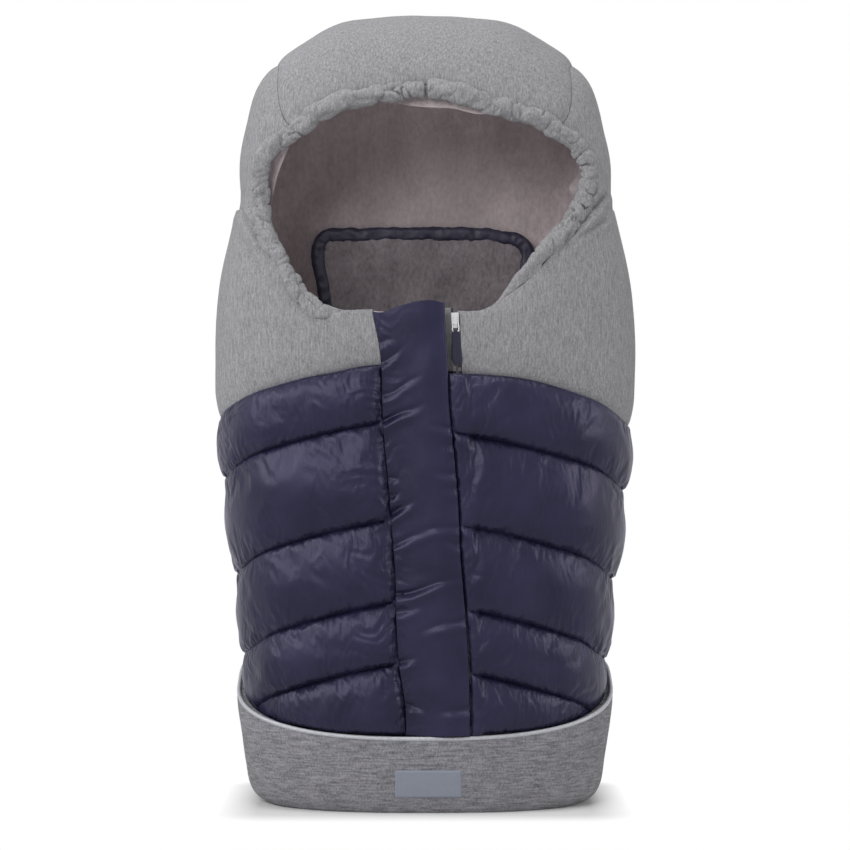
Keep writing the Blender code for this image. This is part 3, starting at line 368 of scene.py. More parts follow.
def by_height(rule):
    return stand_in(rule, LEVEL_STEP, len(RINGS))


half_width = by_height(lambda z: through(OUTLINE, z))
front_depth = by_height(lambda z: through(FRONT_DEPTH, z))
front_bow = by_height(lambda z: through(FRONT_BOW, z))


def front_y(x, z):
    """How far forward the body's front lies."""
    bow = front_bow(z)
    return -front_depth(z) * (1 - min(abs(x) / half_width(z), 0.9995) ** bow) ** (1 / bow)


FOLD_X = 0.155               # the covers' lower corners end here, at the side of the foot
# Each seam's height in the middle, and how far it has fallen at a share of the half width
SEAM_LEVELS = {-1: (0.1519, 0.2109, 0.2902, 0.3855, 0.4325), 1: (0.1459, 0.2056, 0.2851, 0.3726, 0.4240)}
QUILT_FALL = ((0, 0), (0.2, 0.0088), (0.4, 0.0170), (0.6, 0.0273), (0.8, 0.0398), (0.9, 0.0500),
              (1.0, 0.0645))
YOKE_FALL = {-1: ((0, 0), (0.2, 0.0012), (0.3, 0.0030), (0.42, 0.0082), (0.57, 0.0140), (0.68, 0.0200),
                  (0.79, 0.0267), (0.87, 0.0337), (0.97, 0.0456), (1.0, 0.0530)),
             1: ((0, 0), (0.12, 0.0010), (0.3, 0.0025), (0.48, 0.0066), (0.67, 0.0170), (0.84, 0.0300),
                 (1.0, 0.0520))}
CHANNELS = len(SEAM_LEVELS[1])


def seam_height(side, step, x, y, z):
    """Height of a seam at a place near it; round the side and behind it runs level."""
    fall = YOKE_FALL[side] if step == CHANNELS - 1 else QUILT_FALL
    return SEAM_LEVELS[side][step] - through(fall, abs(x) / half_width(z) if y < -0.03 else 1.0)


ZIP_TOP = (0.0288, 0.478)
ZIP_BOTTOM = (0.0460, 0.080)
ZIP_EDGE = 0.0046
BAND_TOP = 0.073
BAND_RISE = 0.38
BAND_FRONT = -0.109
FRONT_GIRTH = 0.30           # about how far a front runs round
QUILT_COLS = 220
QUILT_ROWS = 150
QUILT_DEPTH = 0.009          # wadding behind the satin
QUILT_PUFF = 0.0118
SIDE_PUFF = 0.45             # share of the puff that is left round the side, where a front lies lower too
SIDE_SINK = 0.0018
SIDE_FROM = 0.72             # the side begins at this share of the half width
SIDE_RAMP = 0.26
FULL_CHANNEL = 0.050         # a narrower channel puffs less
PUFF_SAG = 0.74              # below 1, a channel is fullest below its middle, where the wadding sinks to
PUFF_BOW = 0.54              # the lower, the more steeply a puff rises from its seams
EDGE_ROLL = 0.0045           # how quickly it rises from the zip edge, and from the back seam
BACK_ROLL = 0.03
PUCKER = 0.0021
EDGE_PUCKER = {-1: 1.7, 1: 0.25}         # how much of it runs out of each zip edge
SATIN_SLACK = 0.014          # how much more satin is cut than the seams take up
SATIN_PRESSURE = 1.5
SATIN_FRAMES = 8
SATIN_CAP = 0.0030           # the simulation moves no place by more
SEAM_GAP = 0.0004            # between pieces that are sewn together


def zip_x(z):
    return mix(ZIP_BOTTOM[0], ZIP_TOP[0], (z - ZIP_BOTTOM[1]) / (ZIP_TOP[1] - ZIP_BOTTOM[1]))


PLACKET_SEAM = ((0.086, -0.0183), (0.106, -0.0194), (0.148, -0.0256), (0.189, -0.0278), (0.231, -0.0288),
                (0.273, -0.0320), (0.314, -0.0350), (0.371, -0.0403), (0.398, -0.0413), (0.431, -0.0420),
                (0.452, -0.0441), (0.481, -0.0503))
FLAP_EDGE = ((0.080, 0.0434), (0.110, 0.0430), (0.148, 0.0420), (0.189, 0.0391), (0.214, 0.0369),
             (0.252, 0.0338), (0.294, 0.0322), (0.329, 0.0294), (0.362, 0.0262), (0.384, 0.0240),
             (0.406, 0.0225), (0.428, 0.0219), (0.450, 0.0208), (0.472, 0.0192), (0.493, 0.0186))


def placket_x(z):
    """Seam that holds the placket, on the left front."""
    return through(PLACKET_SEAM, z)


def flap_edge(z):
    """Free edge of the placket, which lies over the zip."""
    return through(FLAP_EDGE, z)


def band_line(y):
    """Top of the foot band at a depth."""
    return BAND_TOP + BAND_RISE * (y - BAND_FRONT)


def grid_sheet(name, cols, rows, spot):
    """A sheet of cloth over a grid: spot gives a place for a share across and a share along."""
    work = bmesh.new()
    bmesh.ops.create_grid(work, x_segments=cols, y_segments=rows, size=0.5)
    across = work.verts.layers.float.new("across")
    along = work.verts.layers.float.new("along")
    for vert in work.verts:
        vert[across], vert[along] = vert.co.x + 0.5, vert.co.y + 0.5
        vert.co = spot(vert[across], vert[along])
    bmesh.ops.remove_doubles(work, verts=work.verts, dist=2e-5)
    return make_object(name, work)


def back_up(thing, inner):
    """Close a sheet into a solid: its second face lies where inner says."""
    work = bmesh.new()
    work.from_mesh(thing.data)
    across, along = work.verts.layers.float["across"], work.verts.layers.float["along"]
    copied = bmesh.ops.extrude_face_region(work, geom=work.faces[:], use_keep_orig=True)["geom"]
    for vert in copied:
        if isinstance(vert, bmesh.types.BMVert):
            vert.co = inner(vert[across], vert[along])
    bmesh.ops.recalc_face_normals(work, faces=work.faces)
    work.to_mesh(thing.data)
    work.free()
    thing.data.shade_smooth()
    thing.data.set_sharp_from_angle(angle=math.radians(60))


def settle(thing, held):
    """Blow a front out between its held seams by cloth simulation, and keep the result."""
    start = [v.co.copy() for v in thing.data.vertices]
    thing.vertex_groups.new(name="held").add(held, 1.0, "REPLACE")
    step = thing.modifiers.new("cloth", "CLOTH")
    cloth = step.settings
    cloth.vertex_group_mass = "held"
    cloth.use_pressure = True
    cloth.uniform_pressure_force = SATIN_PRESSURE
    cloth.shrink_min = -SATIN_SLACK
    cloth.effector_weights.gravity = 0
    cloth.quality = 4
    cloth.mass = 0.15
    cloth.tension_stiffness = cloth.compression_stiffness = 12
    cloth.shear_stiffness = 3
    cloth.bending_stiffness = 0.05
    step.collision_settings.use_collision = False
    step.point_cache.frame_end = SATIN_FRAMES
    for moment in range(1, SATIN_FRAMES + 1):
        scene.frame_set(moment)
    blown = thing.evaluated_get(bpy.context.evaluated_depsgraph_get()).to_mesh()
    ends = [v.co.copy() for v in blown.vertices]
    thing.modifiers.remove(step)
    scene.frame_set(1)
    for vert, first, last in zip(thing.data.vertices, start, ends):
        moved = last - first
        vert.co = first + moved * min(1.0, SATIN_CAP / max(moved.length, 1e-9))
    thing.vertex_groups.clear()


def dress(thing, finish):
    thing.data.materials.clear()
    thing.data.materials.append(finish.material)


def fit(thing, finish, nodes, bodies):
    """Dress a piece; say which solids it stands for, and what it moves with or bends between."""
    dress(thing, finish)
    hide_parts(*nodes)
    if isinstance(bodies, str):
        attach(thing, bodies)
    else:
        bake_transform(thing, bodies[0], bodies[1], start=bodies[2], end=bodies[3])
    return thing


def soft_piece(name, cols, rows, face, inner, finish, nodes, bodies):
    """A padded or loose piece of cloth, from its two faces."""
    thing = grid_sheet(name, cols, rows, face)
    back_up(thing, inner)
    return fit(thing, finish, nodes, bodies)


def lump(x, y, z):
    """Smooth unevenness, between -1 and 1."""
    return noise.noise(Vector((x, y, z)))


def dip(off, width):
    """1 in the middle of a groove or fold and 0 well beside it."""
    return math.exp(-(off / width) ** 2)


SIDES = ((-1, "left"), (1, "right"))
SIDE_FOLD = {side: ("muff", name + "_cover", (side * 0.185, -0.06, 0.3), (side * 0.140, -0.09, 0.3))
             for side, name in SIDES}
satin = Finish("navy_satin", "navy_satin", 0.42, Sheen_Weight=0.22, Sheen_Roughness=0.30,
               Sheen_Tint=(0.70, 0.64, 1.0, 1), Specular_IOR_Level=0.33, Specular_Tint=(0.80, 0.74, 1.0, 1))
satin_cloud = satin.grain(22, 22, 22, 3.0)
satin.feed(Base_Color=satin.tint(satin_cloud.ramp(0.3, 0.7), (0.006, 0.0065, 0.023), (0.014, 0.0145, 0.041)),
           Roughness=satin_cloud * 0.12 + 0.31)
satin_weave = satin.grain(1500, 1500, 900, 1.0)
satin_crease = satin.grain(190, 190, 45, 3.0)
near_seam = satin.node("Attribute", {"attribute_name": "seam"}, {}, 2)
satin.relief(satin_weave * 0.08 + satin_crease * (near_seam * 0.9 + 0.08), 0.0018)

back_share = by_height(lambda z: share_at(BACK_SEAM * through(OUTLINE, z), z, True))
FRONT_EDGE = {-1: by_height(lambda z: share_at(-placket_x(z), z)),
              1: by_height(lambda z: share_at(flap_edge(z) + 0.0006, z))}


@functools.cache
def seam_heights(side, s):
    """Heights of the foot band's edge and of each seam, in one column of a front."""
    heights = []
    for step in range(-1, CHANNELS):
        z = 0.1 if step < 0 else SEAM_LEVELS[side][step]
        for _ in range(6):
            x, y = ring_place(mix(FRONT_EDGE[side](z), back_share(z), s), z)
            if step < 0:
                z = band_line(y) + mix(0.0, -0.004, smooth((x - FOLD_X + 0.006) / 0.006))
            else:
                z = mix(z, seam_height(side, step, x, y, z), 0.8)
        heights.append(max(z, heights[-1] + 0.002) if heights else z)
    return heights


def quilt_spot(side, s, t, out=0.0):
    """Place on a front: t runs through the channels from the foot band to the yoke seam."""
    row = t * CHANNELS
    step = min(int(row), CHANNELS - 1)
    heights = seam_heights(side, s)
    z = mix(heights[step], heights[step + 1], row - step)
    return body_skin(mix(FRONT_EDGE[side](z), back_share(z), s), z, out, side)


def puckers(run, away, step, depth):
    """Fine creases that run out of a seam: run is the way along it, away the distance from it."""
    wander = 3.0 * lump(run * 25, away * 30, step)
    fine = lump(run * 230 + wander, away * 26, step * 7.7)
    broad = lump(run * 95 + wander, away * 14, step * 3.1 + 40)
    creased = abs(fine) * 1.3 * math.exp(-away / 0.0075) + abs(broad) * 1.6 * math.exp(-away / 0.014)
    return -depth * (1 - math.exp(-away / 0.0022)) * creased


TUNNEL = 0.0072              # the right front's margin stands so far out over the zip
TUNNEL_WALL = 0.0014
TUNNEL_REACH = 0.008         # the margin is this wide beside the coil, and falls off over so much
TUNNEL_RAMP = 0.007
MARGIN_PUFF = 0.0046


def over_zip(x, z):
    """How fully a place on the right front lies in its raised margin over the zip."""
    return smooth((zip_x(z) + ZIP_EDGE + TUNNEL_REACH - x) / TUNNEL_RAMP)


def to_the_side(x, z):
    """0 on the front, 1 round the side, where the padding lies flatter."""
    return smooth((abs(x) / half_width(z) - SIDE_FROM) / SIDE_RAMP)


def quilt_place(side, s, t):
    """Place on the puffed satin, with its creases, and how near it lies to a seam."""
    row = t * CHANNELS
    step = min(int(row), CHANNELS - 1)
    q = row - step
    flat = quilt_spot(side, s, t)
    x, z = abs(flat.x), flat.z
    heights = seam_heights(side, s)
    channel = heights[step + 1] - heights[step]
    from_edge, from_back = s * FRONT_GIRTH, (1 - s) * FRONT_GIRTH
    beside = to_the_side(x, z) if flat.y < 0.03 else 1.0
    full = q ** PUFF_SAG
    puff = QUILT_PUFF * mix(1.0, SIDE_PUFF, beside) * min(1.0, channel / FULL_CHANNEL)
    puff *= max(4 * full * (1 - full), 0.0) ** PUFF_BOW
    puff *= (1 - math.exp(-from_edge / EDGE_ROLL)) * smooth(from_back / BACK_ROLL)
    puff *= 1 + 0.16 * lump(flat.x * 13, flat.z * 13, side * 5.0)
    low, high = q * channel, (1 - q) * channel
    depth = PUCKER * min(1.0, channel / 0.03)
    out = puff + puckers(from_edge, low, step * 1.7 + side, depth)
    out += puckers(from_edge, high, step * 1.7 + side + 9, depth * 0.8)
    out += puckers(z, from_edge, 3.0 + side, PUCKER * EDGE_PUCKER[side]) * smooth(channel / 0.02)
    out -= SIDE_SINK * beside
    if side > 0:
        margin = (1 - math.exp(-min(low, high) / 0.0030)) * (1 - math.exp(-from_edge / 0.0020))
        out = mix(out, TUNNEL + MARGIN_PUFF * margin, over_zip(x, z))
    near = max(math.exp(-low / 0.012), math.exp(-high / 0.010), math.exp(-from_edge / 0.010))
    return body_skin(mix(FRONT_EDGE[side](z), back_share(z), s), z, out, side), near


def quilt_inside(side, s, t):
    """The fleece side of a front; over the zip it stands clear of the slider's way."""
    flat = quilt_spot(side, s, t)
    over = over_zip(flat.x, flat.z) if side > 0 else 0.0
    return quilt_spot(side, s, t, mix(-QUILT_DEPTH, TUNNEL - TUNNEL_WALL, over))


for side, name in SIDES:
    front = grid_sheet("quilted_front_" + name, QUILT_COLS, QUILT_ROWS, lambda s, t: Vector((s, t, 0)))
    seam = front.data.attributes.new("seam", "FLOAT", "POINT")
    held = []
    for vert in front.data.vertices:
        s, t = vert.co.x, vert.co.y
        vert.co, seam.data[vert.index].value = quilt_place(side, s, t)
        if abs(t * CHANNELS - round(t * CHANNELS)) < 0.02 or s < 0.003 or s > 0.997:
            held.append(vert.index)
    settle(front, held)
    back_up(front, lambda s, t: quilt_inside(side, s, t))
    fit(front, satin, ("cover_panel_" + name, "side_panel_" + name), SIDE_FOLD[side])


# Placket: a navy strip sewn down at its left edge, whose free right edge lies over the zip.
# It is puckered along the seam, creased across, and hemmed at the free edge.
PLACKET_COLS = 60
PLACKET_ROWS = 300
PLACKET_TOP = ((-0.0513, 0.4826), (-0.0415, 0.4816), (-0.0182, 0.4894), (0.0038, 0.4927), (0.018, 0.4905))
PLACKET_SEAT = 0.0012
PLACKET_TURNED = 0.0030      # what is turned in along the seam
PLACKET_OVER = 0.0100        # how far the free edge stands out
PLACKET_WALL = 0.0020
PLACKET_RAMP = 0.8           # it has risen to the full over this share of its width
PLACKET_BOW = 0.0022
PLACKET_WIDTH = 0.065
HEM_STITCHES = (0.0034, 0.0060)          # two stitch lines, so far in from the free edge
# Creases from the seam and from the free edge: height where each starts, slant, length, depth
SEAM_CREASES = ((0.4520, 0.20, 0.022, 0.0010), (0.4330, 0.70, 0.030, 0.0015), (0.4020, 0.50, 0.045, 0.0019),
                (0.3769, 0.44, 0.045, 0.0030), (0.3233, 0.10, 0.014, 0.0020), (0.3060, 0.50, 0.014, 0.0020),
                (0.2854, 0.75, 0.028, 0.0030), (0.2604, 0.35, 0.045, 0.0020), (0.2500, 0.10, 0.012, 0.0020),
                (0.2124, 0.22, 0.075, 0.0030), (0.1930, 0.25, 0.030, 0.0018), (0.1458, 0.25, 0.022, 0.0026),
                (0.1073, -0.35, 0.022, 0.0020))
EDGE_CREASES = ((0.3708, 0.15, 0.024, 0.0020), (0.3535, 0.10, 0.018, 0.0014), (0.3266, 0.20, 0.024, 0.0020),
                (0.3150, 0.0, 0.020, 0.0012), (0.2756, 0.0, 0.050, 0.0016), (0.2612, 0.12, 0.022, 0.0014),
                (0.1870, -0.22, 0.055, 0.0022), (0.1031, -0.15, 0.034, 0.0024))


def placket_spot(s, t, out):
    z = 0.3
    for _ in range(4):
        x = mix(placket_x(z) + SEAM_GAP, flap_edge(z), s)
        z = mix(band_line(front_y(x, z)) + SEAM_GAP, through(PLACKET_TOP, x), t)
    return Vector((x, front_y(x, z) - out, z))


def creases(marks, run, z):
    """Sharp creases with a fuller fold below each; run is how far in from where they start."""
    out = 0.0
    for level, slant, length, depth in marks:
        off = z - level - slant * run - 0.004 * lump(run * 40, level * 40, 2)
        fade = 1 - smooth(run / length)
        out -= 1.3 * depth * fade * dip(off, 0.0030)
        out += 1.2 * depth * fade * dip(off + 0.0070, 0.0050)
    return out


def placket_face(s, t):
    flat = placket_spot(s, t, 0.0)
    x, z = flat.x, flat.z
    out = mix(PLACKET_SEAT, PLACKET_OVER, smooth(s / PLACKET_RAMP))
    out += PLACKET_BOW * math.sin(math.pi * min(s / 0.92, 1.0))
    across, hem = x - placket_x(z), flap_edge(z) - x
    out += puckers(z, across + SEAM_GAP, 21.0, 0.0012)
    out += creases(SEAM_CREASES, across, z) + 0.8 * creases(EDGE_CREASES, hem, z)
    out += 0.0012 * lump(x * 45, 4, z * 32)
    for stitches in HEM_STITCHES:
        out -= 0.0005 * dip(hem - stitches, 0.0006)
    out -= 0.0012 * (1 - smooth(hem / 0.0012))
    return placket_spot(s, t, out)


def placket_inside(s, t):
    return placket_spot(s, t, mix(-PLACKET_TURNED, PLACKET_OVER - PLACKET_WALL, smooth(s / PLACKET_RAMP)))


placket = grid_sheet("placket_flap", PLACKET_COLS, PLACKET_ROWS, placket_face)
placket.data.attributes.new("seam", "FLOAT", "POINT").data.foreach_set(
    "value", [math.exp(-v.value * PLACKET_WIDTH / 0.010) for v in placket.data.attributes["across"].data])
back_up(placket, placket_inside)
fit(placket, satin, ("placket",), "left_cover")


# Yokes and shoulders. A grey melange outer cloth, woven with darker slubs that run upright,
# over thin wadding; each piece runs from the placket or the zip round to the back seam.
GREY_WALL = 0.008
CREASE_SOFT = 0.006          # how far the cloth rounds off beside a seam


def weave_grey(name, slot, gloss, sheen, x, z, low, high, depth):
    """Melange cloth: long slubs, short flecks and a fine weave."""
    finish = Finish(name, slot, 0.92, Specular_IOR_Level=gloss, Sheen_Weight=sheen, Sheen_Roughness=0.6)
    slub = finish.grain(x, x, z, 3.0)
    fleck = finish.grain(700, 700, 420, 2.0)
    cloud = finish.grain(9, 9, 9, 2.0)
    tone = (slub * 0.55 + fleck * 0.45).ramp(0.34, 0.66) * 0.9 + cloud * 0.1
    finish.feed(Base_Color=finish.tint(tone, low, high), Roughness=fleck * 0.12 + 0.84)
    finish.relief(fleck * 0.6 + slub * 0.4, depth)
    return finish


melange = weave_grey("grey_melange", "grey_shell", 0.22, 0.06, 680, 105, (0.180, 0.178, 0.188),
                     (0.372, 0.370, 0.386), 0.0004)

# From the middle of the face opening to the middle of its rim, by the angle up from the right
OPENING = ((-90, 0.1040), (-75, 0.1077), (-60.5, 0.1170), (-40.3, 0.1177), (-22.4, 0.1240), (-7, 0.1400),
           (6.1, 0.1590), (16.4, 0.1637), (28.8, 0.1485), (42.6, 0.1290), (59.8, 0.1148), (75, 0.1130),
           (89.3, 0.1127), (100, 0.1138), (110.3, 0.1162), (126.9, 0.1285), (145.1, 0.1405),
           (157.2, 0.1575), (167.2, 0.1647), (175.8, 0.1622), (186.3, 0.1578), (198.2, 0.1505),
           (208.8, 0.1482), (220.1, 0.1480), (226.9, 0.1410), (232.9, 0.1285), (242.7, 0.1148),
           (256, 0.1070), (270, 0.1040))
RIM_RADIUS = 0.0095
RIM_END_RADIUS = 0.0018
RIM_TAPER = {-1: (0.076, 0.100), 1: (0.060, 0.112)}
RIM_LAP = 0.0036             # how far the cloth's edge lies inside the tube's outer side


def opening_reach(ray, grow):
    """Distance from the middle of the face opening to its outline along a ray, grown all round."""
    return through(OPENING, (math.degrees(ray) + 90) % 360 - 90) + grow


def rim_radius(side, x):
    end, full = RIM_TAPER[side]
    return mix(RIM_END_RADIUS, RIM_RADIUS, smooth((abs(x) - end) / (full - end)))


def opening_edge(side):
    """x and z of the cloth's edge below the face opening, from its middle to its side."""
    points = []
    for k in range(91):
        ray = math.radians(k - 90)
        reach = opening_reach(ray if side > 0 else math.pi - ray, 0.0)
        reach += rim_radius(side, reach * math.cos(ray)) - RIM_LAP
        points.append((reach * math.cos(ray), NECK + reach * math.sin(ray)))
    return points


OPENING_EDGE = {side: opening_edge(side) for side in (-1, 1)}


def opening_bottom(side, x):
    """Height of the cloth's edge below the face opening."""
    for (a, low), (b, high) in zip(OPENING_EDGE[side], OPENING_EDGE[side][1:]):
        if x < b:
            return mix(low, high, max(x - a, 0.0) / max(b - a, 1e-6))
    return NECK


# Folds that run down and inwards from the neck: from x and z to x and z, length, depth
NECK_FOLDS = {-1: (((0.1790, 0.5810, 0.1500, 0.5420), 0.050, 0.0042),
                   ((0.1800, 0.5540, 0.1500, 0.5180), 0.040, 0.0016)),
              1: (((0.1780, 0.6010, 0.1330, 0.5470), 0.070, 0.0040),
                  ((0.1760, 0.5760, 0.1330, 0.5430), 0.052, 0.0026))}


def neck_folds(side, x, z):
    out = 0.0
    for place, length, depth in NECK_FOLDS[side]:
        along = Vector((x, 0, z)) - Vector((place[0], 0, place[1]))
        way = Vector((place[2] - place[0], 0, place[3] - place[1])).normalized()
        run, off = along.dot(way), along.cross(way).y
        inside = smooth((run + 0.006) / 0.010) * smooth((length - run) / 0.014)
        out -= depth * inside * dip(off, 0.0024)
        out += depth * 0.55 * inside * dip(abs(off) - 0.0062, 0.004)
    return out


YOKE_EDGE = {-1: by_height(lambda z: share_at(-placket_x(z) + SEAM_GAP, z)),
             1: by_height(lambda z: share_at(zip_x(z) + ZIP_EDGE, z))}


@functools.cache
def yoke_heights(side, s):
    """The yoke seam and the top edge in one column of the grey cloth."""
    z = SEAM_LEVELS[side][-1]
    for _ in range(6):
        x, y = ring_place(mix(YOKE_EDGE[side](z), back_share(z), s), z)
        z = mix(z, seam_height(side, CHANNELS - 1, x, y, z), 0.8)
    low, top = z, NECK
    for _ in range(7):
        x, y = ring_place(mix(YOKE_EDGE[side](top), back_share(top), s), top)
        top = mix(top, opening_bottom(side, x) if y < 0 else NECK, 0.8)
    return low + 0.0003, top


def yoke_spot(side, s, t, out):
    low, top = yoke_heights(side, s)
    z = mix(low, top, t)
    return body_skin(mix(YOKE_EDGE[side](z), back_share(z), s), z, out, side)


def rounding(distance):
    """How far cloth dips where it rounds off into a seam."""
    return -0.0030 * math.exp(-max(distance, 0.0) / CREASE_SOFT)


def yoke_face(side, s, t):
    flat = yoke_spot(side, s, t, 0.0)
    low, top = yoke_heights(side, s)
    x, z = abs(flat.x), flat.z
    girth = FRONT_GIRTH + 0.02
    out = rounding(z - low) + 0.0022 * smooth((z - low) / 0.03)
    if flat.y < 0 and top < NECK - 0.001:
        out += 0.8 * rounding(top - z)
    out += rounding((1 - s) * girth)
    out += 0.0022 * lump(flat.x * 11, flat.y * 11 + side * 7, z * 9)
    out += 0.0007 * lump(flat.x * 40, flat.y * 40, z * 26)
    if flat.y < 0:
        out += neck_folds(side, x, z)
    return yoke_spot(side, s, t, out)


for side, name in SIDES:
    soft_piece("yoke_and_shoulder_" + name, 150, 64, lambda s, t: yoke_face(side, s, t),
               lambda s, t: yoke_spot(side, s, t, -GREY_WALL), melange, ("yoke_" + name, "shoulder_" + name),
               SIDE_FOLD[side])


# Hood. The same grey cloth in a middle crown and two sides, wadded, over the head; each is cut
# along rays from the middle of the face opening and runs round to the seam of the flat back.
RAY_STEP = math.radians(3)
CROWN_SEAM_INNER = math.radians(31)
CROWN_SEAM_OUTER = math.radians(45)
HOOD_WALL = 0.009
HOOD_FOLD = ("muff", "hood", (0, 0, NECK + 0.002), (0, 0, NECK + 0.110))


def silhouette_reach(ray):
    """Distance from the middle of the opening to the hood's outline along a ray."""
    def inside(reach):
        rise = reach * math.sin(ray)
        return reach * math.cos(ray) < through(OUTLINE, NECK + rise) and NECK + rise < OUTLINE[-1][0]

    return halved(0.15, 0.24, 24, inside)


HOOD_DEPTH = 0.100           # how far forward the hood's rim lies; it leans back a little upwards
HOOD_LEAN = 0.003
HOOD_BACK = 0.080
HOOD_BOW = 3.0
REACHES = [silhouette_reach(k * RAY_STEP) for k in range(31)]
HOOD_REACH = [(a + 2 * b + c) / 4 for a, b, c in zip(REACHES, REACHES[1:], REACHES[2:])]
HOOD_REACH = [REACHES[0], *HOOD_REACH, REACHES[-1]]
HOOD_RINGS = [even_ring(reach, HOOD_DEPTH - HOOD_LEAN * math.sin(k * RAY_STEP), HOOD_BACK, HOOD_BOW)
              for k, reach in enumerate(HOOD_REACH)]


def ray_level(ray):
    """Where a ray falls among the hood's rings, which serve both sides."""
    return min(ray, math.pi - ray) / RAY_STEP


def hood_skin(ray, share, out):
    """Point on the hood on a ray, a share of the way from the front middle to the back middle."""
    reach, depth = lattice_skin(HOOD_RINGS, share, ray_level(ray), out)
    return Vector((reach * math.cos(ray), depth, NECK + reach * math.sin(ray)))


def hood_share(ray, reach, behind=False):
    """The share of the way round at which the hood reaches so far out along a ray."""
    low, high = (1.0, 0.55) if behind else (0.0, 0.5)
    return halved(low, high, 12, lambda share: read_lattice(HOOD_RINGS, share, ray_level(ray))[0] < reach)


def by_ray(rule):
    return stand_in(rule, math.radians(1), 181)


rim_share = by_ray(lambda ray: hood_share(ray, opening_reach(ray, RIM_RADIUS - RIM_LAP)))
hood_width = by_ray(lambda ray: read_lattice(HOOD_RINGS, 0.5, ray_level(ray))[0])
hood_back_share = by_ray(lambda ray: hood_share(ray, BACK_SEAM * hood_width(ray), True))
HOOD_RUN = 0.22              # about how far the cloth runs from the rim to the back seam
CROWN_GAP = 0.0015           # half the gap between crown and side, as an angle
SIDE_SHARE = 0.42            # the crown's seams reach the silhouette at this share of the run


def crown_ray(u):
    """Ray of the seam between crown and side, at a share of the way to the silhouette."""
    return mix(CROWN_SEAM_INNER, CROWN_SEAM_OUTER, smooth(min(u, 1.0) * 0.9))


def hood_place(piece, s, u, out):
    """Place on a piece of the hood: s across its rays, u from the rim to the back seam."""
    seam = crown_ray(u / SIDE_SHARE)
    if piece == "crown":
        ray = mix(seam + CROWN_GAP, math.pi - seam - CROWN_GAP, s)
    else:
        ray = mix(0.0, seam - CROWN_GAP, s)
        ray = ray if piece == "right" else math.pi - ray
    share = mix(rim_share(ray), hood_back_share(ray), u)
    return ray, hood_skin(ray, share, out)


def hood_face(piece, s, u):
    ray, flat = hood_place(piece, s, u, 0.0)
    reach = 0.10 + 0.09 * min(u / SIDE_SHARE, 1.0)
    run, seam = u * HOOD_RUN, crown_ray(u)
    out = rounding(run) * 0.9 + rounding(HOOD_RUN - run)
    if piece == "crown":
        width = (math.pi - 2 * seam) * reach
        out += rounding(s * width) + rounding((1 - s) * width)
    else:
        out += rounding((1 - s) * seam * reach)
        if flat.y < 0:
            out += neck_folds(1 if piece == "right" else -1, abs(flat.x), flat.z)
    out += 0.0026 * lump(flat.x * 10, flat.y * 9, flat.z * 10 + 3)
    out += 0.0010 * lump(flat.x * 34, flat.y * 20, flat.z * 34)
    # Short gathers run out of the elastic rim
    out -= 0.0022 * math.exp(-run / 0.014) * abs(lump(ray * 17, u * 4, 8)) * (1 - math.exp(-run / 0.002))
    return hood_place(piece, s, u, out)[1]


for piece, node, cols in (("crown", "hood_crown", 170), ("left", "hood_side_left", 60),
                          ("right", "hood_side_right", 60)):
    soft_piece("hood_" + piece + "_cloth", cols, 100, lambda s, u: hood_face(piece, s, u),
               lambda s, u: hood_place(piece, s, u, -HOOD_WALL)[1], melange, (node,), HOOD_FOLD)


# Gathered rim. A tube of the grey cloth round the face opening, drawn up by an elastic inside,
# so that it is crumpled all round; its ends meet in a notch at the top, and it thins out to a
# flat lip at the placket and the zip.
RIM_SINK = 0.0045            # its middle lies this far under the cloth around it
RIM_SIDES = 32
PINCHES = ((184, 0.030), (-3, 0.024), (16, 0.020), (150, 0.020), (103, 0.018))     # angle, length
FORWARD = Vector((0, -1, 0))


def frames(points, lean, closed=False):
    """Along a path: each point, the direction across it, and the one nearest to lean."""
    made, count = [], len(points)
    for k, point in enumerate(points):
        after = points[(k + 1) % count] if closed or k + 1 < count else point
        before = points[k - 1] if closed or k > 0 else point
        side = (after - before).normalized().cross(lean).normalized()
        made.append((point, side, side.cross((after - before).normalized())))
    return made


def sleeve(name, stations, sides, section, closed=False):
    """A skin round a path: section gives its reach across and up, for a turn and a station."""
    rows = len(stations) if closed else len(stations) - 1
    work = bmesh.new()
    bmesh.ops.create_grid(work, x_segments=sides, y_segments=rows, size=0.5)
    for vert in work.verts:
        around = round((vert.co.x + 0.5) * sides) % sides
        k = round((vert.co.y + 0.5) * rows) % len(stations)
        middle, side, up = stations[k]
        across, rise = section(2 * math.pi * around / sides, k)
        vert.co = middle + side * across + up * rise
    bmesh.ops.remove_doubles(work, verts=work.verts, dist=1e-6)
    bmesh.ops.holes_fill(work, edges=[edge for edge in work.edges if len(edge.link_faces) == 1], sides=0)
    bmesh.ops.recalc_face_normals(work, faces=work.faces)
    thing = make_object(name, work)
    thing.data.shade_smooth()
    thing.data.set_sharp_from_angle(angle=math.radians(75))
    return thing


def rounded(turn, across, rise, power=0.6):
    """A section between a circle, with power 1, and a box."""
    c, s = math.cos(turn), math.sin(turn)
    return across * math.copysign(abs(c) ** power, c), rise * math.copysign(abs(s) ** power, s)


def cord(name, stations, radius, sides, closed=False):
    """A plain round cord or wire along a path."""
    return sleeve(name, stations, sides, lambda turn, k: rounded(turn, radius, radius, 1.0), closed)


def rim_line(ray, wander=1.0):
    """Middle line of the tube."""
    reach = opening_reach(ray, 0.0)
    x, z = reach * math.cos(ray), NECK + reach * math.sin(ray)
    y = hood_skin(ray, hood_share(ray, reach), 0).y if 0 < ray < math.pi else front_y(x, z)
    reach += wander * (0.0030 * lump(x * 26, z * 26, 5) + 0.0014 * lump(x * 75, z * 75, 6))
    return Vector((reach * math.cos(ray), y + RIM_SINK, NECK + reach * math.sin(ray)))


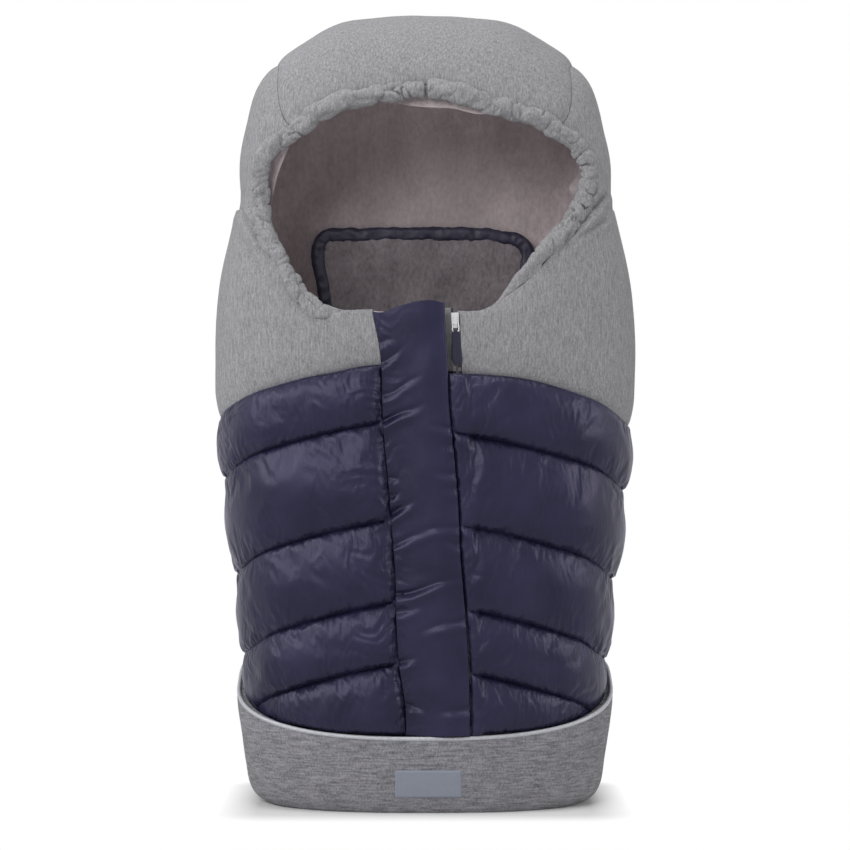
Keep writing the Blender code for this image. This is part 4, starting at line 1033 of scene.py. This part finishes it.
def rim_piece(name, first, last, rows, side, bodies, nodes):
    """One length of the tube with its elastic, between two rays."""
    rays = [mix(first, last, k / rows) for k in range(rows + 1)]
    stations = frames([rim_line(ray) for ray in rays], FORWARD)
    runs = [first * 0.3]
    for a, b in zip(stations, stations[1:]):
        runs.append(runs[-1] + (b[0] - a[0]).length)

    def section(turn, k):
        middle, run, ray = stations[k][0], runs[k], rays[k]
        radius = rim_radius(side, middle.x) if middle.z < NECK else RIM_RADIUS
        x, y = math.cos(turn), math.sin(turn)
        pinch = sum(dip((ray - math.radians(place)) * 0.14, reach) for place, reach in PINCHES)
        gathers = 0.35 + 0.50 * smooth(0.5 + 1.5 * lump(run * 11, 3, 3)) + 0.65 * pinch
        lean = run + 0.0045 * math.sin(turn + run * 40) + 0.004 * lump(run * 40, 1, 1)
        fold = 1 - abs(lump(lean * 88, x * 0.6, y * 0.6 + 5)) * 3.4
        fine = 1 - abs(lump(lean * 210, x * 1.1 + 9, y * 1.1)) * 3.4
        broad = lump(run * 44, x * 0.9 + 9, y * 0.9)
        swell = 1.0 + 0.42 * broad - gathers * (0.34 * max(fold, 0.0) ** 2 + 0.13 * max(fine, 0.0) ** 2)
        swell *= 1 - 0.62 * dip((ray - NOTCH) * 0.112, 0.0016)
        return radius * swell * x, radius * swell * y * mix(0.7, 0.95, radius / RIM_RADIUS)

    fit(sleeve(name, stations, RIM_SIDES, section), melange, nodes[:1], bodies)
    wide = [ray for ray in rays if rim_line(ray).z > NECK or abs(rim_line(ray).x) > ELASTIC_END_X]
    inner = frames([rim_line(ray, 0.5) for ray in wide[1:-1:3]], FORWARD)
    fit(cord(name + "_elastic", inner, ELASTIC_RADIUS, 10), rubber, nodes[1:], bodies)


def grained(name, slot, roughness, across, along, detail, low, high, depth, ramp=None, rough=None, **fixed):
    """A finish of one grain, which brings two tones, a relief and sometimes an uneven roughness."""
    finish = Finish(name, slot, roughness, **fixed)
    grain = finish.grain(across, across, along, detail)
    finish.feed(Base_Color=finish.tint(grain.ramp(*ramp) if ramp else grain, low, high))
    if rough:
        finish.feed(Roughness=grain * rough[0] + rough[1])
    if depth:
        finish.relief(grain, depth)
    return finish


NOTCH = math.pi / 2 - 0.008  # the ray at which the tube's ends meet
ELASTIC_RADIUS = 0.0016
ELASTIC_END_X = 0.104
rubber = grained("white_elastic", "elastic", 0.7, 1800, 1800, 1.0, (0.55, 0.55, 0.55), (0.72, 0.72, 0.71),
                 0.0002, Specular_IOR_Level=0.3)
LEFT_END, RIGHT_END = math.pi + math.radians(64.0), -math.radians(73.5)
rim_piece("hood_rim_tube", 0.0, math.pi, 560, 1, HOOD_FOLD, ("hood_rim", "rim_elastic"))
for side, name, first, last in ((-1, "left", math.pi, LEFT_END), (1, "right", RIGHT_END, 0.0)):
    rim_piece("neck_rim_tube_" + name, first, last, 220, side, SIDE_FOLD[side],
              ("neck_rim_" + name, "neck_elastic_" + name))


# Foot band. A wide band of coarser grey cloth sewn round the foot, higher at the back, its top
# edge piped with a silvery reflective cord.
BAND_OUTLINE = ((0, 0.1575), (0.006, 0.1680), (0.018, 0.1750), (0.038, 0.1785), (0.058, 0.1815),
                (0.078, 0.1845), (0.098, 0.1868), (0.118, 0.1868), (0.150, 0.1875))
BAND_OUT = 0.008
BAND_SEAT = 0.0016
BAND_TUCK = 0.004            # how far the band draws in below, over so much height
BAND_TUCK_RISE = 0.014
BAND_RUN = 0.09              # about how high it is in front
PIPING_RADIUS = 0.0021
PIPING_PLACE = (-0.0016, 0.0006)     # its middle, out from the band's face and up from its edge


def band_ring(z):
    out = BAND_OUT - BAND_TUCK * (1 - smooth(z / BAND_TUCK_RISE))
    return even_ring(through(BAND_OUTLINE, z), through(FRONT_DEPTH, z) + out, through(BACK_DEPTH, z) + out,
                     through(FRONT_BOW, z))


BAND_STEP = 0.005
BAND_RINGS = [band_ring(k * BAND_STEP) for k in range(34)]


def band_top(share):
    """Height of the band's top edge at a share round from the front."""
    z = 0.09
    for _ in range(6):
        z = band_line(read_lattice(BAND_RINGS, share, z / BAND_STEP)[1])
    return z


BAND_TOPS = [band_top(k / 100) for k in range(101)]


def band_spot(s, t, out, outer=True):
    """Place on the band: s runs the whole way round from the back, t from the floor upwards."""
    side, share = (-1, 1 - 2 * s) if s < 0.5 else (1, 2 * s - 1)
    k = min(int(share * 100), 99)
    z = t * mix(BAND_TOPS[k], BAND_TOPS[k + 1], share * 100 - k)
    if not outer:
        return body_skin(share, z, BAND_SEAT, side)
    x, y = lattice_skin(BAND_RINGS, share, z / BAND_STEP, out)
    return Vector((side * x, y, z))


def band_face(s, t):
    flat = band_spot(s, t, 0.0)
    out = 0.0012 * lump(flat.x * 16, flat.y * 16, flat.z * 22)
    out += 0.0004 * lump(flat.x * 55, flat.y * 55, flat.z * 60)
    out -= 0.0014 * math.exp(-(1 - t) * BAND_RUN / 0.004)
    out -= 0.0014 * (1 - smooth(t / 0.03))
    return band_spot(s, t, out)


slub_grey = weave_grey("band_melange", "band_cloth", 0.2, 0.05, 70, 620, (0.105, 0.102, 0.113),
                       (0.348, 0.343, 0.368), 0.0005)
soft_piece("foot_band_cloth", 300, 44, band_face, lambda s, t: band_spot(s, t, 0, False), slub_grey,
           ("foot_band",), "muff")

silver = grained("reflective_piping", "piping", 0.45, 900, 900, 2.0, (0.375, 0.38, 0.41), (0.55, 0.555, 0.59),
                 0.0002, (0.35, 0.7), (0.3, 0.25), Specular_IOR_Level=0.35, Metallic=0.15)
PIPING = [band_spot(k / 360, 1.0, PIPING_PLACE[0]) + Vector((0, 0, PIPING_PLACE[1])) for k in range(360)]
piping = cord("reflective_piping", frames(PIPING, Vector((0, 0, 1)), True), PIPING_RADIUS, 12, True)
fit(piping, silver, ("band_piping",), "muff")


# Woven label. A flat label of blue-grey ribbon, left bare; its ends are folded under, and it is
# sewn down on the front of the foot band.
LABEL_MIDDLE = (0.0033, 0.0295)
LABEL_SIZE = (0.064, 0.027)
LABEL_OUT = 0.0016


def band_front(x, z):
    """How far forward the band's face lies."""
    share = halved(0.0, 0.5, 14, lambda share: read_lattice(BAND_RINGS, share, z / BAND_STEP)[0] < abs(x))
    return read_lattice(BAND_RINGS, share, z / BAND_STEP)[1]


def label_spot(s, t, out):
    x = LABEL_MIDDLE[0] + (s - 0.5) * LABEL_SIZE[0]
    z = LABEL_MIDDLE[1] + (t - 0.5) * LABEL_SIZE[1]
    return Vector((x, band_front(x, z) - out, z))


def label_face(s, t):
    edge = min(s, 1 - s) * LABEL_SIZE[0], min(t, 1 - t) * LABEL_SIZE[1]
    out = LABEL_OUT * (1 - math.exp(-min(edge) / 0.0006)) + 0.0005 * lump(s * 4, t * 2, 7)
    return label_spot(s, t, out - 0.0004 * dip(edge[0] - 0.003, 0.0004))


woven = Finish("label_weave", "label_weave", 0.55, Specular_IOR_Level=0.3)
thread = woven.grain(500, 500, 2600, 1.0)
crossing = woven.grain(2400, 500, 400, 1.0)
woven.feed(Base_Color=woven.tint(thread * 0.6 + crossing * 0.4, (0.200, 0.222, 0.272), (0.296, 0.320, 0.382)))
woven.relief(thread + crossing, 0.0002)
soft_piece("woven_label_cloth", 96, 40, label_face, lambda s, t: label_spot(s, t, -0.0002), woven,
           ("woven_label",), "muff")


# Fleece linings. A soft pinkish grey pile inside the fronts, the sides, the back, the foot and
# the hood, sewn in loosely, so that it waves a little; it peeps out under the rim at the top.
LINING_IN = 0.0122           # the linings lie this far under the outer cloth
PILE = 0.0022
HARNESS_SLOTS = ((-0.055, 0.500), (0.055, 0.500), (0.0, 0.290))
SLOT_SIZE = (0.060, 0.016)
SLOT_EDGE = 0.003
LINING_LOW = 0.0125          # the linings of the back and the sides reach down to here
FRONT_LINING_LOW = 0.0835    # and those of the fronts, above the foot
LINING_BACK = 0.0008         # how far a lining's hidden face lies behind LINING_IN


def brushed(name, sheen, sheen_tint, low, high, depth):
    """Fleece: pile that has been brushed this way and that, with tufts and fine hairs."""
    finish = Finish(name, "fleece", 0.96, Specular_IOR_Level=0.1, Sheen_Weight=sheen, Sheen_Roughness=0.5,
                    Sheen_Tint=sheen_tint)
    patch = finish.grain(38, 38, 24, 3.0)
    tuft = finish.grain(260, 260, 170, 3.0)
    hair = finish.grain(1500, 1500, 700, 1.0)
    tone = (patch * 0.45 + tuft * 0.40 + hair * 0.15).ramp(0.36, 0.64)
    finish.feed(Base_Color=finish.tint(tone, low, high))
    finish.relief(tuft * 0.7 + hair * 0.3, depth)
    return finish


fleece = brushed("fleece", 0.25, (1.0, 0.90, 0.93, 1), (0.445, 0.382, 0.393), (0.670, 0.582, 0.598), 0.0018)


def waves(point, size=1.0):
    """Loose waves of a lining, drawn out along its length."""
    x, y, z = point
    return size * (0.0024 * lump(x * 21, y * 21, z * 8) + 0.0011 * lump(x * 60, y * 60, z * 38 + 4))


def lining_piece(name, cols, rows, first, second, nodes, bodies):
    """A lining of fleece, from its two faces."""
    return soft_piece(name, cols, rows, first, second, fleece, nodes, bodies)


LINING_EDGE = {-1: by_height(lambda z: -share_at(zip_x(z) - ZIP_EDGE, z)),
               1: by_height(lambda z: share_at(zip_x(z) + ZIP_EDGE, z))}


@functools.cache
def lining_heights(side, s):
    low, top = 0.082, NECK
    for _ in range(6):
        x, y = ring_place(abs(mix(LINING_EDGE[side](low), back_share(low), s)), low)
        beside = smooth((x - FOLD_X + 0.004) / 0.006)
        low = mix(FRONT_LINING_LOW, LINING_LOW, beside) if y < 0 else LINING_LOW
    for _ in range(7):
        share = mix(LINING_EDGE[side](top), back_share(top), s)
        x, y = ring_place(abs(share), top)
        top = mix(top, opening_bottom(side if share > 0 else -side, x) - 0.001 if y < 0 else NECK, 0.8)
    return low, top


def lining_spot(side, s, t, depth):
    low, top = lining_heights(side, s)
    z = mix(low, top, t)
    share = mix(LINING_EDGE[side](z), back_share(z), s)
    return body_skin(abs(share), z, -depth, side * share)


def lining_face(side, s, t):
    loose = 4 * t * (1 - t)
    return lining_spot(side, s, t, LINING_IN + PILE + loose * (0.0012 + waves(lining_spot(side, s, t, 0.0))))


for side, name in SIDES:
    lining_piece("front_lining_" + name, 84, 80, lambda s, t: lining_spot(side, s, t, LINING_IN),
                 lambda s, t: lining_face(side, s, t), ("cover_lining_" + name, "side_lining_" + name),
                 SIDE_FOLD[side])


def back_spot(s, t, depth, low=LINING_LOW):
    """The flat back between the two back seams."""
    z = mix(low, NECK, t)
    return body_skin(mix(back_share(z), 1.0, 1 - abs(2 * s - 1)), z, -depth, s - 0.5)


def taut(spot, s, t):
    """The pile's face of a lining that lies nearly flat."""
    return spot(s, t, LINING_IN + PILE + 0.5 * min(waves(spot(s, t, 0.0)), 0.0))


def cut_slots(thing):
    """Cut the three harness slots through a piece of the back."""
    for mid_x, mid_z in HARNESS_SLOTS:
        work = bmesh.new()
        bmesh.ops.create_cube(work, size=1.0)
        upright = [edge for edge in work.edges if abs((edge.verts[0].co - edge.verts[1].co).y) > 0.5]
        for vert in work.verts:
            x, y, z = vert.co
            vert.co = (mid_x + x * SLOT_SIZE[0], 0.06 + y * 0.08, mid_z + z * SLOT_SIZE[1])
        bmesh.ops.bevel(work, geom=upright, offset=SLOT_SIZE[1] * 0.49, segments=6, affect="EDGES")
        cutter = make_object("slot_cutter", work)
        step = thing.modifiers.new("slot", "BOOLEAN")
        step.operation, step.solver, step.object = "DIFFERENCE", "EXACT", cutter
        cut = bpy.data.meshes.new_from_object(thing.evaluated_get(bpy.context.evaluated_depsgraph_get()))
        thing.modifiers.remove(step)
        old, thing.data = thing.data, cut
        bpy.data.meshes.remove(old)
        bpy.data.objects.remove(cutter)


cut_slots(lining_piece("back_lining_cloth", 90, 110, lambda s, t: taut(back_spot, s, t),
                       lambda s, t: back_spot(s, t, LINING_IN - LINING_BACK), ("back_lining",), "muff"))


# Where the hood's lining comes out from under the rim: by the angle, how far in it reaches
LIP = ((0, 0.008), (4, 0.010), (8.5, 0.017), (13, 0.008), (24, 0), (50, 0.0), (58, 0.0085), (75, 0.0125),
       (88, 0.0145), (100, 0.0120), (111, 0.004), (120, 0), (150, 0), (157, 0.010), (165, 0.015),
       (173, 0.013), (180, 0.006))
LIP_SHARE = 0.15             # this much of the lining's run is the part that turns in behind the rim


def hood_lining_spot(ray, u, depth):
    run = 0.05 + 0.95 * max(u - LIP_SHARE, 0.0) / (1 - LIP_SHARE)
    inner = hood_skin(ray, mix(rim_share(ray), hood_back_share(ray), run), -depth)
    if u >= LIP_SHARE:
        return inner
    reach = opening_reach(ray, -0.002 - through(LIP, math.degrees(ray)))
    y = rim_line(ray, 0.0).y + 0.006 + 0.6 * (depth - LINING_IN)
    edge = Vector((reach * math.cos(ray), y, NECK + reach * math.sin(ray)))
    return edge.lerp(inner, smooth(u / LIP_SHARE))


def hood_lining_face(s, u):
    ray = math.pi * s
    loose = smooth(min(u, 1 - u) / 0.12) * waves(hood_lining_spot(ray, u, LINING_IN), 1.2)
    return hood_lining_spot(ray, u, LINING_IN + PILE + loose)


def hood_back_spot(s, t, depth):
    ray = math.pi * s
    return hood_skin(ray, mix(hood_back_share(ray), 1.0, t), -depth)


lining_piece("hood_lining_cloth", 180, 60, lambda s, u: hood_lining_spot(math.pi * s, u, LINING_IN),
             hood_lining_face, ("hood_lining",), HOOD_FOLD)
lining_piece("hood_back_lining_cloth", 90, 44, lambda s, t: taut(hood_back_spot, s, t),
             lambda s, t: hood_back_spot(s, t, LINING_IN - LINING_BACK), ("hood_back_lining",), HOOD_FOLD)

FOOT_PANEL_LOW = 0.0085
FOOT_Z = 0.004               # the foot's floor is as wide and deep as the body here
FLOOR_FACES = (0.0108, 0.0083)           # heights of the two faces of the floor's lining
FLOOR_INSET = 0.0125
SOLE_FACES = (0.0078, 0.0004)            # and of the sole, each face with its own inset
SOLE_INSETS = (0.0005, 0.0012)


def foot_front(s, t, low, depth):
    """The front of the foot, behind the band and under the fronts' lower edge."""
    end = share_at(FOLD_X, 0.05)
    share = mix(-end, end, s)
    z = mix(low, band_line(ring_place(abs(share), 0.08)[1]) - 0.0015, t)
    return body_skin(abs(share), z, -depth, share)


def foot_lip(s, t):
    """Its outer face, which swells out above the band's edge to meet the fronts."""
    flat = foot_front(s, t, FOOT_PANEL_LOW, 0.0)
    above = flat.z - band_line(flat.y) + 0.0062
    swollen = smooth(above / 0.0022) * (1 - smooth((above - 0.0034) / 0.0016))
    return foot_front(s, t, FOOT_PANEL_LOW, mix(0.0012, -0.0034, swollen))


soft_piece("front_foot_cloth", 80, 60, foot_lip, lambda s, t: foot_front(s, t, FOOT_PANEL_LOW, 0.0095), satin,
           ("front_foot_panel",), "muff")
lining_piece("front_foot_lining_cloth", 80, 24, lambda s, t: foot_front(s, t, LINING_LOW, LINING_IN - 0.001),
             lambda s, t: foot_front(s, t, LINING_LOW, LINING_IN + PILE + waves(foot_front(s, t, 0.01, 0.0))),
             ("front_foot_lining",), "muff")


def foot_floor(s, t, z, inset):
    """Place on the floor of the foot, from side to side and from front to back."""
    half = half_width(FOOT_Z) - inset
    x = (2 * s - 1) * half * 0.992
    curves = (front_depth(FOOT_Z), front_bow(FOOT_Z)), (through(BACK_DEPTH, FOOT_Z), BACK_BOW)
    front, back = [(deep - inset) * (1 - abs(x / half) ** bow) ** (1 / bow) for deep, bow in curves]
    return Vector((x, mix(-front, back, t), z))


def floor_wave(s, t):
    x, y, _ = foot_floor(s, t, 0, 0)
    return 0.0010 * lump(x * 18, y * 18, 3)


lining_piece("foot_lining_cloth", 90, 50,
             lambda s, t: foot_floor(s, t, FLOOR_FACES[0] + floor_wave(s, t), FLOOR_INSET),
             lambda s, t: foot_floor(s, t, FLOOR_FACES[1], FLOOR_INSET), ("foot_lining",), "muff")
soft_piece("foot_sole_cloth", 90, 50, lambda s, t: foot_floor(s, t, SOLE_FACES[0], SOLE_INSETS[0]),
           lambda s, t: foot_floor(s, t, SOLE_FACES[1] + 0.4 * abs(floor_wave(s, t)), SOLE_INSETS[1]),
           slub_grey, ("foot_sole",), "muff")


# Back. A plain padded panel of the grey cloth, with three harness slots, each bound in navy
# satin; above the neck it goes on as the flat back of the hood.
PANEL_WALL = 0.0100
SLOT_Y = 0.0729              # middle of the back's wall
SLOT_EDGE_DEEP = 0.0077      # half the depth of a slot's binding
SLOT_EASE = (0.0014, 0.0006)             # how much smaller still the binding's loop is


def calm(point):
    """How far in a plain panel's outer face lies, with slight unevenness."""
    x, _, z = point
    return 0.0012 + 0.0012 * lump(x * 12, z * 12, 2) + 0.0004 * lump(x * 45, z * 45, 2)


cut_slots(soft_piece("back_cloth", 90, 110,
                     lambda s, t: back_spot(s, t, calm(back_spot(s, t, 0.0)), FOOT_PANEL_LOW),
                     lambda s, t: back_spot(s, t, PANEL_WALL, FOOT_PANEL_LOW), melange, ("back_shell",),
                     "muff"))
soft_piece("hood_back_cloth", 90, 44, lambda s, t: hood_back_spot(s, t, calm(hood_back_spot(s, t, 0.0))),
           lambda s, t: hood_back_spot(s, t, PANEL_WALL), melange, ("hood_back",), HOOD_FOLD)


def stadium(middle_x, middle_z, y, width, height, step=0.002):
    """Points round a slot or loop with round ends, clockwise from the left of its upper side."""
    radius = height / 2
    straight = width - height
    bend = math.pi * radius
    points = []
    for k in range(int((2 * bend + 2 * straight) / step)):
        half, run = divmod(k * step, straight + bend)
        if run < straight:
            x, z = run - straight / 2, radius
        else:
            turn = math.pi / 2 - (run - straight) / radius
            x, z = straight / 2 + radius * math.cos(turn), radius * math.sin(turn)
        facing = 1 - 2 * half
        points.append(Vector((middle_x + facing * x, y, middle_z + facing * z)))
    return points


for name, (mid_x, mid_z) in zip(("shoulder_slot_left", "shoulder_slot_right", "crotch_slot"), HARNESS_SLOTS):
    sizes = [size - SLOT_EDGE - ease for size, ease in zip(SLOT_SIZE, SLOT_EASE)]
    path = stadium(mid_x, mid_z, SLOT_Y, *sizes)

    def bound(turn, k):
        pucker = 1 + 0.10 * lump(*path[k] * 160)
        return rounded(turn, SLOT_EDGE / 2 * pucker, SLOT_EDGE_DEEP)

    edge = sleeve(name + "_edge", frames(path, FORWARD, True), 20, bound, True)
    fit(edge, satin, (name + "_binding",), "muff")


# Harness flap. A padded flap of darker fleece that lies over the shoulder slots, held at its
# lower edge, bound all round in puckered navy satin and closed by a hook-and-loop strip.
FLAP_LEFT = ((0.330, -0.1060), (0.500, -0.1090), (0.545, -0.1166), (0.574, -0.1165))
FLAP_RIGHT = ((0.330, 0.1060), (0.500, 0.1090), (0.545, 0.1129), (0.574, 0.1129))
FLAP_TOP_EDGE = ((-0.116, 0.5735), (-0.06, 0.5750), (0.0, 0.5752), (0.05, 0.5750), (0.085, 0.5710),
                 (0.1115, 0.5660))
FLAP_FOOT = 0.3302
FLAP_ROUND = 0.015           # its upper corners
FLAP_SIDE_TOPS = (0.550, 0.545)
BINDING_HALF = 0.0076
BINDING_DEEP = 0.0049        # half its thickness
FLAP_MIDDLE_Y = 0.0578
FLAP_BACK = 0.0044           # how far the pad's hidden face lies behind
FLAP_SIZE = (0.20, 0.23)     # about how wide and high it is


def flap_side(side, z):
    """x of the binding's middle line on one side."""
    return through(FLAP_LEFT, z) + BINDING_HALF if side < 0 else through(FLAP_RIGHT, z) - BINDING_HALF


def flap_over(x):
    """z of the binding's middle line along the top."""
    return through(FLAP_TOP_EDGE, x) - BINDING_HALF


def flap_half(side, top):
    """The binding's middle line up one side and round its corner."""
    points = [(flap_side(side, z), z) for z in (mix(FLAP_FOOT, top, k / 100) for k in range(101))]
    first, last_x = points[-1], flap_side(side, top) - side * FLAP_ROUND
    last_z = flap_over(last_x)
    for k in range(1, 16):
        turn = math.pi / 2 * k / 16
        points.append((mix(last_x, first[0], math.cos(turn)), mix(first[1], last_z, math.sin(turn))))
    return points, last_x


def waver(run, off):
    return 0.0016 * lump(run * 55, off * 55, 1)


def flap_path():
    """The whole of it, up the left side, over the top and down the right."""
    (left, start), (right, stop) = [flap_half(side, top) for side, top in zip((-1, 1), FLAP_SIDE_TOPS)]
    top = [(x, flap_over(x)) for x in (mix(start, stop, k / 90) for k in range(91))]
    return [Vector((x + waver(x, z), FLAP_MIDDLE_Y, z + waver(z, x))) for x, z in left + top + right[::-1]]


FLAP_PATH = flap_path()


def flap_bound(turn, k):
    place = FLAP_PATH[k]
    pucker = 1 - 0.46 * abs(lump(place.x * 110, place.z * 110, math.cos(turn)))
    wide, thick = rounded(turn, BINDING_HALF * mix(1.0, pucker, 0.4), BINDING_DEEP * pucker, 0.75)
    return wide, thick - 0.0009 * dip(abs(wide) - BINDING_HALF * 0.80, 0.0007) * (thick > 0)


# Painted light: the binding is the navy satin with lighter tones, standing in for light on the binding where
# it lies in the hood's shade.
lightened_satin = grained("binding_satin_painted_light", "navy_satin", 0.45, 90, 90, 3.0, (0.026, 0.025, 0.046),
                     (0.056, 0.052, 0.084), 0.0012, (0.3, 0.7), Sheen_Weight=0.15, Sheen_Roughness=0.30,
                     Sheen_Tint=(0.70, 0.64, 1.0, 1), Specular_IOR_Level=0.30)
fit(sleeve("harness_flap_binding", frames(FLAP_PATH, FORWARD), 28, flap_bound), lightened_satin, ("flap_binding",),
    "harness_flap")


def flap_spot(s, t, out):
    x = 0.0
    for _ in range(2):
        z = mix(FLAP_FOOT, flap_over(x), t)
        x = mix(flap_side(-1, z), flap_side(1, z), s)
    return Vector((x, FLAP_MIDDLE_Y - out, z))


def flap_face(s, t):
    x, _, z = flap_spot(s, t, 0.0)
    near = min(s * FLAP_SIZE[0], (1 - s) * FLAP_SIZE[0], (1 - t) * FLAP_SIZE[1])
    out = 0.0012 + 0.0032 * (1 - math.exp(-near / 0.010))
    out += 0.0022 * lump(x * 24, 3, z * 24) + 0.0009 * lump(x * 70, 3, z * 60)
    out -= 0.0016 * math.exp(-near / 0.016) * abs(lump(x * 75, 9, z * 75))
    return flap_spot(s, t, out)


dark_fleece = brushed("flap_fleece", 0.20, (1.0, 0.92, 0.95, 1), (0.190, 0.169, 0.181),
                      (0.372, 0.333, 0.355), 0.0026)
soft_piece("harness_flap_pad", 110, 110, flap_face, lambda s, t: flap_spot(s, t, -FLAP_BACK), dark_fleece,
           ("flap_pad",), "harness_flap")

STRIP_LENGTH = 0.120
STRIP_EDGES = (0.544, 0.564)
hooks = grained("hook_and_loop", "hook_and_loop", 0.85, 1400, 1400, 2.0, (0.012, 0.012, 0.026),
                (0.050, 0.050, 0.090), 0.0010, (0.35, 0.65), Specular_IOR_Level=0.2)


def strip_spot(s, t, y):
    return Vector(((s - 0.5) * STRIP_LENGTH, y, mix(*STRIP_EDGES, t)))


for name, near, far, body in (("hook_strip", 0.0628, 0.0642, "harness_flap"),
                              ("loop_strip", 0.0647, 0.0660, "muff")):
    soft_piece(name + "_cloth", 60, 12, lambda s, t: strip_spot(s, t, near),
               lambda s, t: strip_spot(s, t, far), hooks, (name,), body)


# Zip. Two woven tapes, grey where they lie in the yoke and navy below, plastic coils, box, pin
# and stop; a metal slider with a wire loop and a navy tab, left bare. The grey of the tapes and the
# coils is painted light: lighter than their own, to make up for the shade of the groove they lie in.
TAPE_TOP = {-1: 0.4862, 1: 0.4822}
TAPE_FOOT = 0.0838
TAPE_EDGES = (0.0012, 0.0130)            # from the zip's middle line
TAPE_SINK = 0.0052
TAPE_WALL = 0.0006
GREY_FROM = 0.4250           # the zip is grey above this height, and navy below
GREY_FULL = 0.4260


def two_tone(finish, share, navy, grey):
    """Navy below and grey in the yoke, each between a darker and a lighter tone."""
    where = finish.axis(2).ramp(GREY_FROM, GREY_FULL)
    finish.feed(Base_Color=finish.tint(where, finish.tint(share, *navy), finish.tint(share, *grey)))


tape_weave = Finish("zip_tape", "zip_tape", 0.8, Specular_IOR_Level=0.2)
twill = tape_weave.grain(1800, 1800, 500, 1.0)
# The grey tones here are painted lighter than the tape, against the shade in its groove.
two_tone(tape_weave, twill, ((0.010, 0.010, 0.024), (0.028, 0.028, 0.056)),
         ((0.26, 0.26, 0.27), (0.46, 0.46, 0.47)))
tape_weave.relief(twill, 0.0003)


def tape_spot(side, s, t, depth):
    z = mix(TAPE_FOOT, TAPE_TOP[side], t)
    x = zip_x(z) + side * mix(*TAPE_EDGES, s)
    return Vector((x, front_y(x, z) + depth, z))


for side, name in SIDES:
    soft_piece("zip_tape_cloth_" + name, 16, 160, lambda s, t: tape_spot(side, s, t, TAPE_SINK),
               lambda s, t: tape_spot(side, s, t, TAPE_SINK + TAPE_WALL), tape_weave, ("zip_tape_" + name,),
               name + "_cover")

COIL_PITCH = 0.0014
coil_nylon = Finish("coil_nylon", "zip_plastic", 0.42, Specular_IOR_Level=0.4)
rise = coil_nylon.axis(2)
turns = rise.math("SINE", rise * (2 * math.pi / COIL_PITCH)) * 0.5 + 0.5
# The coil is one colour; its grey above GREY_FROM is painted light, against the shade in the groove.
two_tone(coil_nylon, turns, ((0.010, 0.010, 0.022), (0.040, 0.040, 0.072)),
         ((0.16, 0.16, 0.17), (0.42, 0.42, 0.43)))
coil_nylon.relief(turns, 0.0005)
moulded = grained("moulded_plastic", "zip_plastic", 0.40, 900, 900, 2.0, (0.014, 0.014, 0.030),
                  (0.024, 0.024, 0.046), None, rough=(0.2, 0.32), Specular_IOR_Level=0.4)
steel = grained("zip_steel", "zip_metal", 0.28, 400, 900, 3.0, (0.50, 0.50, 0.51), (0.66, 0.66, 0.67),
                0.00005, rough=(0.25, 0.18), Metallic=1.0)
for node, finish in (("zip_coil_left", coil_nylon), ("zip_coil_right", coil_nylon), ("zip_box", moulded),
                     ("zip_pin", moulded), ("zip_top_stop", moulded), ("zip_slider", steel)):
    dress(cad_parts[node], finish)
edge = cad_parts["zip_slider"].modifiers.new("edge", "BEVEL")
edge.width, edge.segments, edge.limit_method, edge.angle_limit = 0.0004, 2, "ANGLE", math.radians(40)

LINK_MIDDLE = (0.02925, -0.1063, 0.46735)
LINK_SIZE = (0.0049, 0.0093)
LINK_FLARE = 0.35            # how much wider the loop is at its foot
LINK_WIRE = 0.0008


def link_point(point):
    """A point of the upright wire loop, which widens towards its foot."""
    flare = 1 + LINK_FLARE * (0.5 - point.x / LINK_SIZE[1])
    return Vector(LINK_MIDDLE) + Vector((point.z * flare, 0, point.x))


LINK_PATH = [link_point(point) for point in stadium(0.0, 0.0, 0.0, LINK_SIZE[1], LINK_SIZE[0], 0.0005)]
fit(cord("puller_wire_loop", frames(LINK_PATH, FORWARD, True), LINK_WIRE, 12, True), steel,
    ("puller_link",), "puller")

TAB_TOP = Vector((0.0294, -0.1063, 0.4646))
TAB_FOOT = Vector((0.0309, -0.1058, 0.4312))
TAB_HALF = 0.0053
TAB_WALL = 0.0018


def tab_spot(s, t, out):
    middle = TAB_FOOT.lerp(TAB_TOP, t)
    half = TAB_HALF * mix(1.0, 0.80, smooth(t)) * max(1 - abs(2 * t - 1) ** 7, 0.03) ** 0.5
    return middle + Vector(((2 * s - 1) * half, -out, 0))


tab_cloth = grained("puller_tab", "navy_satin", 0.55, 1100, 1100, 2.0, (0.010, 0.010, 0.026),
                    (0.022, 0.021, 0.046), 0.0002, Specular_IOR_Level=0.3)
soft_piece("puller_tab_cloth", 24, 60,
           lambda s, t: tab_spot(s, t, TAB_WALL / 2 * (1 - math.exp(-min(s, 1 - s) / 0.08)) + 0.0002),
           lambda s, t: tab_spot(s, t, -TAB_WALL / 2), tab_cloth, ("puller_tab",), "puller")
